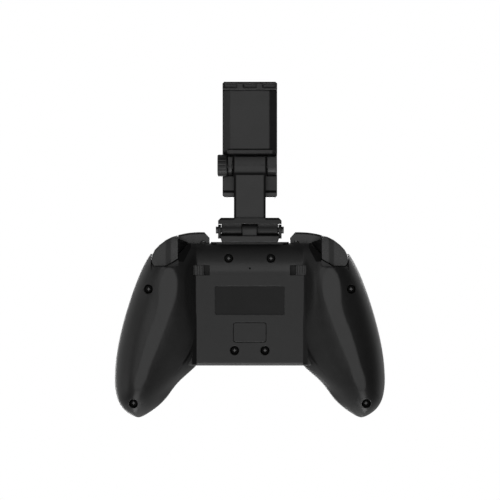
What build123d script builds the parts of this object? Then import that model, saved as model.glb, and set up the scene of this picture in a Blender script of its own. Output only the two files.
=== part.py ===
from build123d import *
from math import cos, radians, sin
import os

os.makedirs("parts", exist_ok=True)

# A gamepad with a folding phone clip, lying on its back on a table: face and controls up, grip tips
# toward -Y, triggers and clip toward +Y. Units are millimetres.

# Driving sizes of the pad
pad_width = 155.0
pad_depth = 106.5  # from the bumper fronts to the grip tips
bumper_stand = 6.4  # how far the bumpers stand out from the top edge of the housing
wall = 2.2
parting_z = 17.0  # the plane where the two shells meet
panel_z = 9.0  # the flat rear panel, above the table
face_z = 37.4  # the middle of the front shell, beside the deck
deck_z = 39.5  # the raised deck that holds the controls
arch_depth = 70.15  # from the top edge to the arch between the grips
middle_half_width = 33.0
middle_round = 2.5
deck_length = 60.0
deck_half_width = 56.0
deck_radius = 17.0
deck_root_z = 28.0
deck_edge_round = 1.9
fit_gap = 0.35  # clearance between a moving piece and its opening

# Driving sizes of the clip
fold_reach = 7.55  # from the top edge to the fold pin
fold_z = 15.0
arm_length = 37.1  # from the fold pin to the tilt bolt
tilt_z = 18.0
clamp_above = 48.2  # from the tilt bolt to the top of the upper jaw
clamp_below = 18.2  # from the tilt bolt to the bottom of the lower jaw

# The origin lies under the middle of the whole object
whole_length = pad_depth - bumper_stand + fold_reach + arm_length + clamp_above
tip_y = -whole_length / 2
edge_y = tip_y + pad_depth - bumper_stand
arch_y = edge_y - arch_depth
fold_y = edge_y + fold_reach
tilt_y = fold_y + arm_length

# Grip sections, each one as the distance from the top edge, then how far the inner side, the foot of
# the inner wall and the crease lie from the middle, how far the outer side lies in from the full
# half width, and the heights of the wall foot, the ridge and the face side
grip_sections = [
    (0.0, 24.0, 30.8, 39.6, 27.0, 13.0, 7.0, 33.5),
    (7.65, 24.0, 30.8, 39.6, 19.6, 9.0, 2.2, 36.0),
    (16.65, 24.0, 30.8, 39.6, 14.8, 9.0, -0.35, 36.5),
    (33.65, 24.0, 30.8, 39.8, 8.4, 9.0, -0.35, 36.3),
    (49.65, 24.5, 31.0, 44.6, 3.8, 9.0, -0.35, 35.8),
    (61.65, 26.0, 34.0, 49.4, 1.3, 9.0, -0.35, 34.5),
    (71.65, 33.0, 41.0, 53.8, 0.1, 8.5, -0.35, 32.5),
    (80.65, 42.2, 48.5, 57.6, -0.1, 7.6, -0.35, 30.0),
    (88.65, 48.8, 54.0, 60.6, 1.3, 8.0, 1.2, 27.5),
    (94.15, 54.0, 57.5, 62.2, 4.1, 9.6, 4.4, 24.5),
    (98.25, 59.6, 61.2, 63.6, 8.9, 12.6, 9.3, 20.8),
]
full_half_width = pad_width / 2
tip_x = full_half_width - 13.5
tip_z = 16.0
hollow_sections = len(grip_sections) - 2


def upright(x, y):
    """A plane that stands at x, y and faces the player, with its second axis up."""
    return Plane(origin=(x, y, 0), x_dir=(1, 0, 0), z_dir=(0, -1, 0))


def grip_section(row, inset):
    """One closed section across the right grip, drawn in by inset."""
    back, inner, foot, crease, outer_inset, foot_z, rear_z, top_z = row
    inner_x = inner + inset
    foot_x = foot + 0.6 * inset
    crease_x = crease + 0.15 * inset
    outer_x = full_half_width - outer_inset - inset
    low = rear_z + inset
    high = top_z - inset
    middle = parting_z if rear_z < 0.5 or back < 20 else (low + high) / 2
    across = outer_x - crease_x
    with BuildSketch(Plane.XZ.offset(back - edge_y)) as section:
        with BuildLine():
            Spline(
                (inner_x, middle),
                (foot_x, foot_z + 0.8 * inset),
                (crease_x, low + 1.4),
                (crease_x + 0.33 * across, low),
                (crease_x + 0.80 * across, low + 0.33 * (middle - low)),
                (outer_x, middle),
                (crease_x + 0.82 * across, high - 0.2 * (high - middle)),
                (crease_x + 0.30 * across, high),
                (inner_x + 0.25 * (crease_x - inner_x), high - 0.12 * (high - middle)),
                periodic=True,
            )
        make_face()
    return section.sketch


def grip_form(inset, count):
    """The right grip as a smooth body; the full count of sections closes it at the tip."""
    sections = [grip_section(row, inset) for row in grip_sections[:count]]
    if count == len(grip_sections):
        sections.append(Vertex(tip_x, tip_y, tip_z))
    with BuildPart() as grip:
        loft(sections=sections)
    return grip.part


def middle_form(inset):
    """The housing between the grips, from its side profile."""
    low = panel_z + inset
    high = face_z - inset
    front = edge_y - inset
    back = arch_y + inset
    with BuildPart() as middle:
        with BuildSketch(Plane.YZ):
            with BuildLine():
                FilletPolyline(
                    (back, high),
                    (back, low),
                    (edge_y - 18.0, low),
                    (edge_y - 7.5, low + 1.2),
                    (edge_y - 0.8, low + 6.5),
                    (front, low + 11.0),
                    (front, high),
                    radius=middle_round,
                    close=True,
                )
            make_face()
        extrude(amount=middle_half_width + 0.5 * inset, both=True)
    return middle.part


deck_middle_y = edge_y - 3.0 - deck_length / 2


def deck_form(inset, top):
    """The raised deck on the face side."""
    with BuildPart() as deck:
        with BuildSketch(Plane.XY.offset(deck_root_z)):
            with Locations((0, deck_middle_y)):
                RectangleRounded(2 * (deck_half_width - inset), deck_length - 2 * inset, deck_radius - inset)
        extrude(amount=top - deck_root_z)
        if inset == 0:
            fillet(deck.faces().sort_by(Axis.Z)[-1].edges(), deck_edge_round)
    return deck.part


# The outer and inner forms of the whole housing
outer_grip = grip_form(0, len(grip_sections))
with BuildPart() as outer_form:
    add(outer_grip)
    add(outer_grip.mirror(Plane.YZ))
    add(middle_form(0))
    add(deck_form(0, deck_z))

inner_grip = grip_form(wall, hollow_sections)
with BuildPart() as inner_form:
    add(inner_grip)
    add(inner_grip.mirror(Plane.YZ))
    add(middle_form(wall))
    add(deck_form(wall, deck_z - wall))

# Shell screws: each one as its place from the middle, its distance from the top edge and the height
# of its seat
screw_places = [(12.1, 8.75, 13.0), (57.8, 26.25, 7.5), (8.7, 61.45, 13.0), (66.4, 91.45, 8.5)]
screw_recess = 5.3
screw_shank = 2.6
screw_length = 12.5
screw_head = 4.7
screw_head_height = 1.8
boss_diameter = 7.4

# Flat panel details
label_length = 39.8
label_height = 16.4
label_depth = 0.5
label_y = edge_y - 32.75
cover_length = 19.0
cover_height = 11.55
cover_y = edge_y - 51.05
cover_gap = 0.3
cover_thick = 1.4
reset_hole = 1.1
reset_y = edge_y - 14.4

# Trigger stop switches
slot_inner = 22.9
slot_outer = 32.3
slot_height = 5.75
slot_y = edge_y - 15.45
stop_knob_length = 5.7
stop_travel = 3.3

# Triggers: plan outline of the right one, then its pivot and its turn
trigger_inner = 41.0
trigger_outer = 56.0
trigger_low = edge_y - 12.9
trigger_pivot_y = edge_y - 2.2
trigger_pivot_z = 23.2
trigger_turn = 16.0
trigger_top = 26.8
trigger_top_slope = 1.3  # the top falls toward the back, so that it clears the bumper when pulled
trigger_back = 3.2  # from the pin to the back of the lever
trigger_back_low_z = 16.0
trigger_lip_z = 3.4
trigger_side_wall = 1.8
trigger_face_round = 4.5
pin_diameter = 3.0
pin_fit = 0.06

# Bumpers
bumper_low = 27.4
bumper_high = 35.2
bumper_inner = 23.3
bumper_pivot_x = 27.0
bumper_pivot_y = edge_y - 0.3
bumper_travel_gap = 1.9

# Control places on the deck
stick_x = 38.0
stick_y = edge_y - 20.65
low_x = 20.5
low_y = edge_y - 45.0
stick_pivot_z = 29.0
stick_opening = 23.0
button_ring = 9.6
button_diameter = 9.6
small_button_diameter = 6.6
home_diameter = 10.0
small_button_x = 10.0
home_y = edge_y - 12.5
pad_arm_length = 24.0
pad_arm_width = 8.2
pad_gap = 0.8

# Inner pieces
board_z = 24.0
board_thick = 1.6
battery_height = 9.0
battery_length = 34.0
battery_width = 32.0
battery_y = edge_y - 38.5
motor_x = 57.0
motor_y = edge_y - 56.0
motor_z = 16.0
motor_diameter = 14.0
motor_length = 16.0
insert_half_width = 22.4
insert_thick = 0.7
insert_low = 16.2
insert_high = 32.6
window_half_width = 19.2
window_height = 14.0
port_z = board_z + board_thick
port_width = 9.0
port_height = 3.2
tongue_x = 11.0
tongue_z = 19.5
tongue_width = 6.0
tongue_thick = 2.0
weight_radius = 7.5
light_y = edge_y - 30.0
light_length = 14.0
light_width = 2.2
stick_base_height = 7.2
skirt_radius = 13.8
skirt_inner = 12.6
stick_top = 55.0
stick_neck = 4.0
cap_radius = 10.0
cap_dish = 1.9
stick_base_width = 15.0
stick_base_wall = 1.1
carriage_width = 12.2
pad_pivot_z = 33.0
membrane_top = 28.2
button_travel = 1.2

# Clip base, arm and their fold pin
knuckle_radius = 3.15
knuckle_gap = 0.25
base_half_width = 17.2
base_low_z = fold_z - 4.2
base_height = 10.6
base_face_y = edge_y + insert_thick
base_front_y = fold_y - knuckle_radius - 0.15
cheek_inner = 16.45
cheek_thick = 1.75
middle_knuckle = 4.3
fold_pin = 3.0
pin_head = 4.0
pin_head_thick = 1.3
arm_half_width = 9.1
arm_low = fold_z - 2.7
arm_thick = 5.0
foot_thick = 6.0
foot_y = fold_y + knuckle_radius + knuckle_gap
foot_depth = 3.6
tilt_radius = 5.2
tilt_half_width = 9.8
tilt_pin = 4.0

# Clamp: body with the lower jaw, sliding upper jaw, tilt knob and rubber pads
clamp_half_width = 15.7
clamp_back_z = 16.5
clamp_front_z = 30.0
clamp_low_y = tilt_y - clamp_below
clamp_top_y = tilt_y + clamp_above
lower_back_step = 4.6  # how much thinner the clamp body is below the tilt ears
cap_height = 4.7
cap_y = clamp_top_y - cap_height
cap_pocket_length = 7.4
cap_pocket_pitch = 11.1
cap_pocket_height = 2.0
cap_pocket_depth = 1.3
housing_y = tilt_y + 5.9
jaw_reach = 22.0
jaw_thick = 4.4
ear_inner = tilt_half_width + 0.3
ear_right = 12.5
ear_left = 15.4
tongue_half = 11.0
tongue_low = 19.6
tongue_high = 23.4
slide_depth = 32.0
slide_fit = 0.2
knob_radius = 6.3
knob_inner = 12.9
knob_length = 5.7
knob_grooves = 16
knob_groove_radius = 0.6
pad_half_width = 12.5
pad_thick = 1.2
pad_height = jaw_reach - 8.0
pad_middle_z = clamp_front_z + jaw_reach / 2 - 1.0


def trigger_side():
    """The side outline of a trigger, from its lip round the finger face to its back."""
    with BuildSketch(Plane.YZ) as side:
        with BuildLine():
            face = Spline(
                (trigger_low, trigger_lip_z),
                (edge_y - 3.2, trigger_lip_z + 0.2),
                (edge_y + 2.6, 8.0),
                (edge_y + 4.7, 15.5),
                (edge_y + 3.6, trigger_top),
            )
            Polyline(
                face @ 1,
                (trigger_pivot_y - trigger_back, trigger_top - trigger_top_slope),
                (trigger_pivot_y - trigger_back, trigger_back_low_z),
                (trigger_low, trigger_lip_z + 3.8),
                face @ 0,
            )
        make_face()
    return side.sketch


def trigger_form():
    """A right trigger: the side outline across its width, trimmed to its plan outline."""
    with BuildPart() as form:
        add(extrude(trigger_side(), amount=trigger_outer))
        with BuildSketch(Plane.XY.offset(-5)):
            with BuildLine():
                Polyline(
                    (trigger_inner, edge_y + 12),
                    (trigger_outer, edge_y + 12),
                    (trigger_outer, trigger_low + 4.2),
                    (trigger_outer - 1.6, trigger_low),
                    (trigger_inner + 6.9, trigger_low),
                    (trigger_inner, trigger_low + 4.0),
                    close=True,
                )
            make_face()
        extrude(amount=60, mode=Mode.INTERSECT)
    return form.part


# The room for a trigger reaches as far back as its lip and the foot of its back swing when it is pulled
turn_sin = sin(radians(trigger_turn))
turn_cos = cos(radians(trigger_turn))
lip_swing = (trigger_pivot_y - trigger_low) * turn_cos + (trigger_pivot_z - trigger_lip_z) * turn_sin
back_swing = trigger_back * turn_cos + (trigger_pivot_z - trigger_back_low_z) * turn_sin
room_lip_y = trigger_pivot_y - lip_swing - 3 * fit_gap
room_back_y = trigger_pivot_y - back_swing - 2 * fit_gap
with BuildPart() as trigger_room:
    with BuildSketch(Plane.YZ):
        Polygon(
            (trigger_low - fit_gap, -3.0),
            (trigger_low - fit_gap, trigger_lip_z - 0.8),
            (room_lip_y, trigger_lip_z + 2.8),
            (room_lip_y - fit_gap, trigger_lip_z + 8.1),
            (room_back_y, parting_z),
            (room_back_y, trigger_top + fit_gap),
            (edge_y + 9.0, trigger_top + fit_gap),
            (edge_y + 9.0, -3.0),
            align=None,
        )
    extrude(amount=trigger_outer + fit_gap)
    with BuildSketch(Plane.XY.offset(-5)):
        Polygon(
            (trigger_inner - fit_gap, edge_y + 12),
            (trigger_outer + fit_gap, edge_y + 12),
            (trigger_outer + fit_gap, trigger_low - 7.0),
            (trigger_inner + 1.0, trigger_low - 7.0),
            (trigger_inner - fit_gap, trigger_low + 3.0),
            align=None,
        )
    extrude(amount=60, mode=Mode.INTERSECT)
    with BuildSketch(Plane.XY.offset(-3)):
        Polygon(
            (trigger_inner - 5.6, edge_y + 8),
            (trigger_outer + 12, edge_y + 8),
            (trigger_outer + 12, edge_y - 6.2),
            (trigger_inner - 0.2, edge_y - 6.2),
            (trigger_inner - 5.6, edge_y - 1.2),
            align=None,
        )
    extrude(amount=trigger_top + fit_gap + 3)


def bumper_plan(grow):
    """The plan outline of the right bumper."""
    with BuildSketch(Plane.XY.offset(bumper_low - grow)) as plan:
        with BuildLine():
            Polyline(
                (bumper_inner, edge_y - 3.0),
                (bumper_inner, edge_y + 3.1),
                (bumper_inner + 3.0, edge_y + bumper_stand),
            )
            front = Spline(
                (bumper_inner + 3.0, edge_y + bumper_stand),
                (36.0, edge_y + bumper_stand - 0.5),
                (45.5, edge_y + 3.2),
                (52.0, edge_y - 1.0),
                (56.2, edge_y - 6.4),
            )
            Polyline(front @ 1, (51.5, edge_y - 6.4), (42.0, edge_y - 3.0), (bumper_inner, edge_y - 3.0))
        make_face()
        if grow:
            offset(amount=grow)
    return plan.sketch


with BuildPart() as bumper_room:
    add(extrude(bumper_plan(fit_gap), amount=bumper_high - bumper_low + 2 * fit_gap))
    with BuildSketch(Plane.XY.offset(bumper_low - fit_gap)):
        with BuildLine():
            Polyline(
                (bumper_inner + 10.0, edge_y + 8),
                (bumper_inner + 10.0, edge_y - 3.4),
                (42.0, edge_y - 3.4 - bumper_travel_gap),
                (51.0, edge_y - 6.8 - bumper_travel_gap),
                (64.0, edge_y - 6.8 - bumper_travel_gap),
                (64.0, edge_y + 8),
                close=True,
            )
        make_face()
    extrude(amount=bumper_high - bumper_low + 2 * fit_gap)

# Rear shell: the lower half of the form, with its screw bosses, motor cradles and openings
with BuildPart() as rear_bosses:
    for place_x, back, seat_z in screw_places:
        with BuildSketch(Plane.XY.offset(-5)):
            with Locations((place_x, edge_y - back)):
                Circle(boss_diameter / 2)
        extrude(amount=parting_z + 5)
    for rib in (-1, 1):
        with BuildSketch(Plane.XZ.offset(-motor_y - rib * 5.0)):
            with Locations((motor_x, 8.5)):
                Rectangle(motor_diameter + 4.0, 15.0)
            with Locations((motor_x, motor_z)):
                Circle(motor_diameter / 2 + 0.1, mode=Mode.SUBTRACT)
        extrude(amount=0.9, both=True)
    mirror(about=Plane.YZ)

with BuildPart() as rear_cuts:
    for place_x, back, seat_z in screw_places:
        with BuildSketch(Plane.XY.offset(seat_z)):
            with Locations((place_x, edge_y - back)):
                Circle(screw_recess / 2)
        extrude(amount=-20)
        with BuildSketch(Plane.XY.offset(seat_z)):
            with Locations((place_x, edge_y - back)):
                Circle(screw_shank / 2 + 0.3)
        extrude(amount=20)
    with BuildSketch(Plane.XY):
        with Locations(((slot_inner + slot_outer) / 2, slot_y)):
            Rectangle(slot_outer - slot_inner, slot_height)
    extrude(amount=16)
    mirror(about=Plane.YZ)
    with BuildSketch(Plane.XY.offset(panel_z + label_depth)):
        with Locations((0, label_y)):
            RectangleRounded(label_length, label_height, 0.8)
    extrude(amount=-5)
    with BuildSketch(Plane.XY.offset(panel_z + cover_thick + 0.05)):
        with Locations((0, cover_y)):
            RectangleRounded(cover_length, cover_height, 1.6)
    extrude(amount=-5)
    with BuildSketch(Plane.XY):
        with Locations((0, cover_y)):
            RectangleRounded(cover_length - 4, cover_height - 4, 1.0)
        with Locations((0, reset_y)):
            Circle(reset_hole / 2)
    extrude(amount=14)
    with BuildSketch(Plane.XZ.offset(-edge_y - 2)):
        with Locations((0, 24.0)):
            Rectangle(2 * insert_half_width - 5.6, 15.0)
    extrude(amount=6)
    Box(200, 250, 10, align=(Align.CENTER, Align.CENTER, Align.MAX))

rear_cavity = inner_form.part - rear_bosses.part
left_trigger_room = trigger_room.part.mirror(Plane.YZ)
left_bumper_room = bumper_room.part.mirror(Plane.YZ)
with BuildPart() as rear_shell:
    add(split(outer_form.part, bisect_by=Plane.XY.offset(parting_z), keep=Keep.BOTTOM))
    add(rear_cavity, mode=Mode.SUBTRACT)
    add(rear_cuts.part, mode=Mode.SUBTRACT)
    add([trigger_room.part, left_trigger_room], mode=Mode.SUBTRACT)
rear_shell.part.label = "rear_shell"
export_step(rear_shell.part, "parts/rear_shell.step")

# Front shell: the upper half of the form, with its screw bosses and the openings of the controls
stick_places = {"left": (-stick_x, stick_y), "right": (low_x, low_y)}
direction_place = (-low_x, low_y)
cluster_place = (stick_x, stick_y)
small_places = {"select": (-small_button_x, stick_y), "start": (small_button_x, stick_y)}
cluster_turns = {"east": 0, "north": 90, "west": 180, "south": 270}

with BuildPart() as front_bosses:
    for place_x, back, seat_z in screw_places:
        with BuildSketch(Plane.XY.offset(parting_z)):
            with Locations((place_x, edge_y - back)):
                Circle(boss_diameter / 2)
        extrude(amount=30)
    mirror(about=Plane.YZ)

with BuildPart() as front_cuts:
    for place_x, back, seat_z in screw_places:
        with BuildSketch(Plane.XY.offset(10)):
            with Locations((place_x, edge_y - back)):
                Circle(screw_shank / 2 + 0.05)
        extrude(amount=seat_z + screw_length + 0.4 - 10)
    mirror(about=Plane.YZ)
    with BuildSketch(Plane.XY.offset(parting_z + 14)):
        with Locations(stick_places["left"], stick_places["right"]):
            Circle(stick_opening / 2)
        with Locations(direction_place):
            Rectangle(pad_arm_length + 2 * pad_gap, pad_arm_width + 2 * pad_gap)
            Rectangle(pad_arm_width + 2 * pad_gap, pad_arm_length + 2 * pad_gap)
        with Locations(cluster_place):
            with PolarLocations(button_ring, 4):
                Circle(button_diameter / 2 + fit_gap)
        with Locations(small_places["select"], small_places["start"]):
            Circle(small_button_diameter / 2 + fit_gap)
        with Locations((0, home_y)):
            Circle(home_diameter / 2 + fit_gap)
        with Locations((0, light_y)):
            SlotOverall(light_length + 0.2, light_width + 0.2)
    extrude(amount=20)
    with BuildSketch(Plane.XZ.offset(-edge_y - 2)):
        with Locations((0, parting_z)):
            Rectangle(2 * window_half_width, 2 * window_height)
    extrude(amount=6)

front_cavity = inner_form.part - front_bosses.part
with BuildPart() as front_shell:
    add(split(outer_form.part, bisect_by=Plane.XY.offset(parting_z), keep=Keep.TOP))
    add(front_cavity, mode=Mode.SUBTRACT)
    add(front_cuts.part, mode=Mode.SUBTRACT)
    add([trigger_room.part, left_trigger_room], mode=Mode.SUBTRACT)
    add([bumper_room.part, left_bumper_room], mode=Mode.SUBTRACT)
front_shell.part.label = "front_shell"
export_step(front_shell.part, "parts/front_shell.step")

# Shell screws, all alike: a pan head and a plain shank
with BuildPart() as shell_screws:
    for place_x, back, seat_z in screw_places:
        for sign in (-1, 1):
            with BuildSketch(Plane.XY.offset(seat_z)):
                with Locations((sign * place_x, edge_y - back)):
                    Circle(screw_head / 2)
            extrude(amount=-screw_head_height)
            with BuildSketch(Plane.XY.offset(seat_z)):
                with Locations((sign * place_x, edge_y - back)):
                    Circle(screw_shank / 2)
            extrude(amount=screw_length)
shell_screws.part.label = "shell_screws"
export_step(shell_screws.part, "parts/shell_screws.step")

# Flush cover in the rear panel
with BuildPart() as bay_cover:
    with BuildSketch(Plane.XY.offset(panel_z)):
        with Locations((0, cover_y)):
            RectangleRounded(cover_length - 2 * cover_gap, cover_height - 2 * cover_gap, 1.4)
    extrude(amount=cover_thick)
bay_cover.part.label = "bay_cover"
export_step(bay_cover.part, "parts/bay_cover.step")

# Stop switches: a ribbed knob on a wider slide plate behind the panel
stop_middle = slot_outer - 0.1 - stop_knob_length / 2
for side, sign in (("left", -1), ("right", 1)):
    with BuildPart() as stop_switch:
        with BuildSketch(Plane.XY.offset(panel_z - 0.3)):
            with Locations((sign * stop_middle, slot_y)):
                Rectangle(stop_knob_length, slot_height - 0.3)
                with GridLocations(stop_knob_length / 4, 0, 4, 1):
                    Rectangle(0.35, slot_height + 1, mode=Mode.SUBTRACT)
        extrude(amount=0.5)
        with BuildSketch(Plane.XY.offset(panel_z + 0.1)):
            with Locations((sign * stop_middle, slot_y)):
                Rectangle(stop_knob_length, slot_height - 0.3)
        extrude(amount=wall + 0.9)
        with BuildSketch(Plane.XY.offset(panel_z + wall + 1.0)):
            with Locations((sign * stop_middle, slot_y)):
                Rectangle(stop_knob_length + 2 * stop_travel + 2.0, slot_height + 2.0)
        extrude(amount=1.2)
    stop_switch.part.label = side + "_stop_switch"
    export_step(stop_switch.part, "parts/" + side + "_stop_switch.step")

# Triggers: a hollowed lever on its pin
with BuildPart() as right_trigger:
    add(trigger_form())
    face_edge = right_trigger.faces().sort_by(Axis.X)[-1].edges().sort_by(SortBy.LENGTH)[-1]
    fillet(face_edge, trigger_face_round)
    with BuildSketch(Plane.YZ.offset(trigger_inner + trigger_side_wall)):
        Polygon(
            (trigger_low + 5.0, 8.0),
            (edge_y - 2.6, 6.4),
            (edge_y + 1.0, 10.0),
            (edge_y + 2.2, 16.0),
            (edge_y + 1.6, 20.0),
            (edge_y - 2.0, 19.0),
            (trigger_pivot_y - 1.4, 15.0),
            align=None,
        )
    extrude(amount=trigger_outer - trigger_inner - 6.0, mode=Mode.SUBTRACT)
    with BuildSketch(Plane.YZ):
        with Locations((trigger_pivot_y, trigger_pivot_z)):
            Circle(pin_diameter / 2 + pin_fit)
    extrude(amount=trigger_outer + 5, mode=Mode.SUBTRACT)
left_trigger = right_trigger.part.mirror(Plane.YZ)
for name, lever in (("right_trigger", right_trigger.part), ("left_trigger", left_trigger)):
    lever.label = name
    export_step(lever, "parts/" + name + ".step")

with BuildPart() as trigger_pins:
    with BuildSketch(Plane.YZ.offset(trigger_inner - 2.0)):
        with Locations((trigger_pivot_y, trigger_pivot_z)):
            Circle(pin_diameter / 2)
    extrude(amount=trigger_outer - trigger_inner + 3.0)
    mirror(about=Plane.YZ)
trigger_pins.part.label = "trigger_pins"
export_step(trigger_pins.part, "parts/trigger_pins.step")

# Bumpers: a bar that swings about an upright pin near its inner end
with BuildPart() as right_bumper:
    with BuildSketch(Plane.XY.offset(bumper_low)):
        add(bumper_plan(0))
    extrude(amount=bumper_high - bumper_low)
    fillet(right_bumper.edges().filter_by(GeomType.BSPLINE).group_by(Axis.Z)[0], 1.2)
    fillet(right_bumper.edges().filter_by(GeomType.BSPLINE).group_by(Axis.Z)[-1], 1.2)
    with BuildSketch(Plane.XY):
        with Locations((bumper_pivot_x, bumper_pivot_y)):
            Circle(pin_diameter / 2 + pin_fit)
    extrude(amount=50, mode=Mode.SUBTRACT)
left_bumper = right_bumper.part.mirror(Plane.YZ)
for name, bar in (("right_bumper", right_bumper.part), ("left_bumper", left_bumper)):
    bar.label = name
    export_step(bar, "parts/" + name + ".step")

with BuildPart() as bumper_pins:
    with BuildSketch(Plane.XY.offset(bumper_low - fit_gap)):
        with Locations((bumper_pivot_x, bumper_pivot_y)):
            Circle(pin_diameter / 2)
    extrude(amount=bumper_high - bumper_low + 2 * fit_gap)
    mirror(about=Plane.YZ)
bumper_pins.part.label = "bumper_pins"
export_step(bumper_pins.part, "parts/bumper_pins.step")

# Top insert between the bumpers, with the port opening and the two slots of the clip
port_middle_z = port_z + port_height / 2
with BuildPart() as top_insert:
    with BuildSketch(Plane.XZ.offset(-edge_y)):
        with Locations((0, (insert_low + insert_high) / 2)):
            RectangleRounded(2 * insert_half_width, insert_high - insert_low, 1.5)
    extrude(amount=-insert_thick)
    with BuildSketch(Plane.XZ.offset(-edge_y)):
        with Locations((0, parting_z + window_height / 2)):
            Rectangle(2 * window_half_width - 0.3, window_height - 0.3)
    extrude(amount=wall - 0.1)
    with BuildSketch(Plane.XZ.offset(-edge_y - 2)):
        with Locations((0, port_middle_z)):
            RectangleRounded(port_width + 0.4, port_height + 0.4, port_height / 2)
        with Locations((-tongue_x, tongue_z), (tongue_x, tongue_z)):
            Rectangle(tongue_width + 0.2, tongue_thick + 0.2)
    extrude(amount=6, mode=Mode.SUBTRACT)
top_insert.part.label = "top_insert"
export_step(top_insert.part, "parts/top_insert.step")

with BuildPart() as usb_port:
    with BuildSketch(Plane.XZ.offset(-edge_y)):
        with Locations((0, port_middle_z)):
            RectangleRounded(port_width, port_height, port_height / 2 - 0.01)
            RectangleRounded(port_width - 0.6, port_height - 0.6, port_height / 2 - 0.31, mode=Mode.SUBTRACT)
    extrude(amount=7.0)
    with BuildSketch(Plane.XZ.offset(-edge_y + 1.0)):
        with Locations((0, port_middle_z)):
            Rectangle(port_width - 2.4, 0.7)
    extrude(amount=6.0)
    with BuildSketch(Plane.XZ.offset(-edge_y + 6.0)):
        with Locations((0, port_middle_z)):
            Rectangle(port_width - 2.4, port_height - 0.3)
    extrude(amount=1.0)
usb_port.part.label = "usb_port"
export_step(usb_port.part, "parts/usb_port.step")

# Main board, with holes for the bosses that pass through it
with BuildPart() as main_board:
    with BuildSketch(Plane.XY.offset(board_z)):
        Polygon(
            (-34.0, edge_y - wall - 0.4),
            (34.0, edge_y - wall - 0.4),
            (34.0, edge_y - 12.8),
            (50.0, edge_y - 17.0),
            (52.0, edge_y - 32.0),
            (47.0, edge_y - 56.5),
            (-47.0, edge_y - 56.5),
            (-52.0, edge_y - 32.0),
            (-50.0, edge_y - 17.0),
            (-34.0, edge_y - 12.8),
            align=None,
        )
        for place_x, back, seat_z in screw_places:
            with Locations((place_x, edge_y - back), (-place_x, edge_y - back)):
                Circle(boss_diameter / 2 + fit_gap, mode=Mode.SUBTRACT)
    extrude(amount=board_thick)
main_board.part.label = "main_board"
export_step(main_board.part, "parts/main_board.step")

with BuildPart() as battery_pack:
    with BuildSketch(Plane.XY.offset(panel_z + wall + 0.3)):
        with Locations((0, battery_y)):
            RectangleRounded(battery_length, battery_width, 2.0)
    extrude(amount=battery_height)
    fillet(battery_pack.edges().filter_by(GeomType.LINE).group_by(Axis.Z)[-1], 1.5)
battery_pack.part.label = "battery_pack"
export_step(battery_pack.part, "parts/battery_pack.step")

# Rumble motors in their cradles, each with a half-round weight on its shaft
for side, sign in (("left", -1), ("right", 1)):
    with BuildPart() as motor:
        with BuildSketch(Plane.XZ.offset(-motor_y - motor_length / 2)):
            with Locations((sign * motor_x, motor_z)):
                Circle(motor_diameter / 2)
                Circle(1.06, mode=Mode.SUBTRACT)
        extrude(amount=motor_length)
    motor.part.label = side + "_rumble_motor"
    export_step(motor.part, "parts/" + side + "_rumble_motor.step")
    with BuildPart() as weight:
        with BuildSketch(Plane.XZ.offset(-motor_y - motor_length / 2 + 1.0)):
            with Locations((sign * motor_x, motor_z)):
                Circle(1.0)
        extrude(amount=motor_length + 6.0)
        with BuildSketch(Plane.XZ.offset(-motor_y + motor_length / 2 + 0.6)):
            with Locations((sign * motor_x, motor_z)):
                Circle(weight_radius)
            with Locations((sign * motor_x, motor_z + 10.0 + 1.6)):
                Rectangle(30, 20, mode=Mode.SUBTRACT)
            with Locations((sign * motor_x, motor_z)):
                Circle(2.4)
        extrude(amount=4.5)
    weight.part.label = side + "_motor_weight"
    export_step(weight.part, "parts/" + side + "_motor_weight.step")

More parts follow.
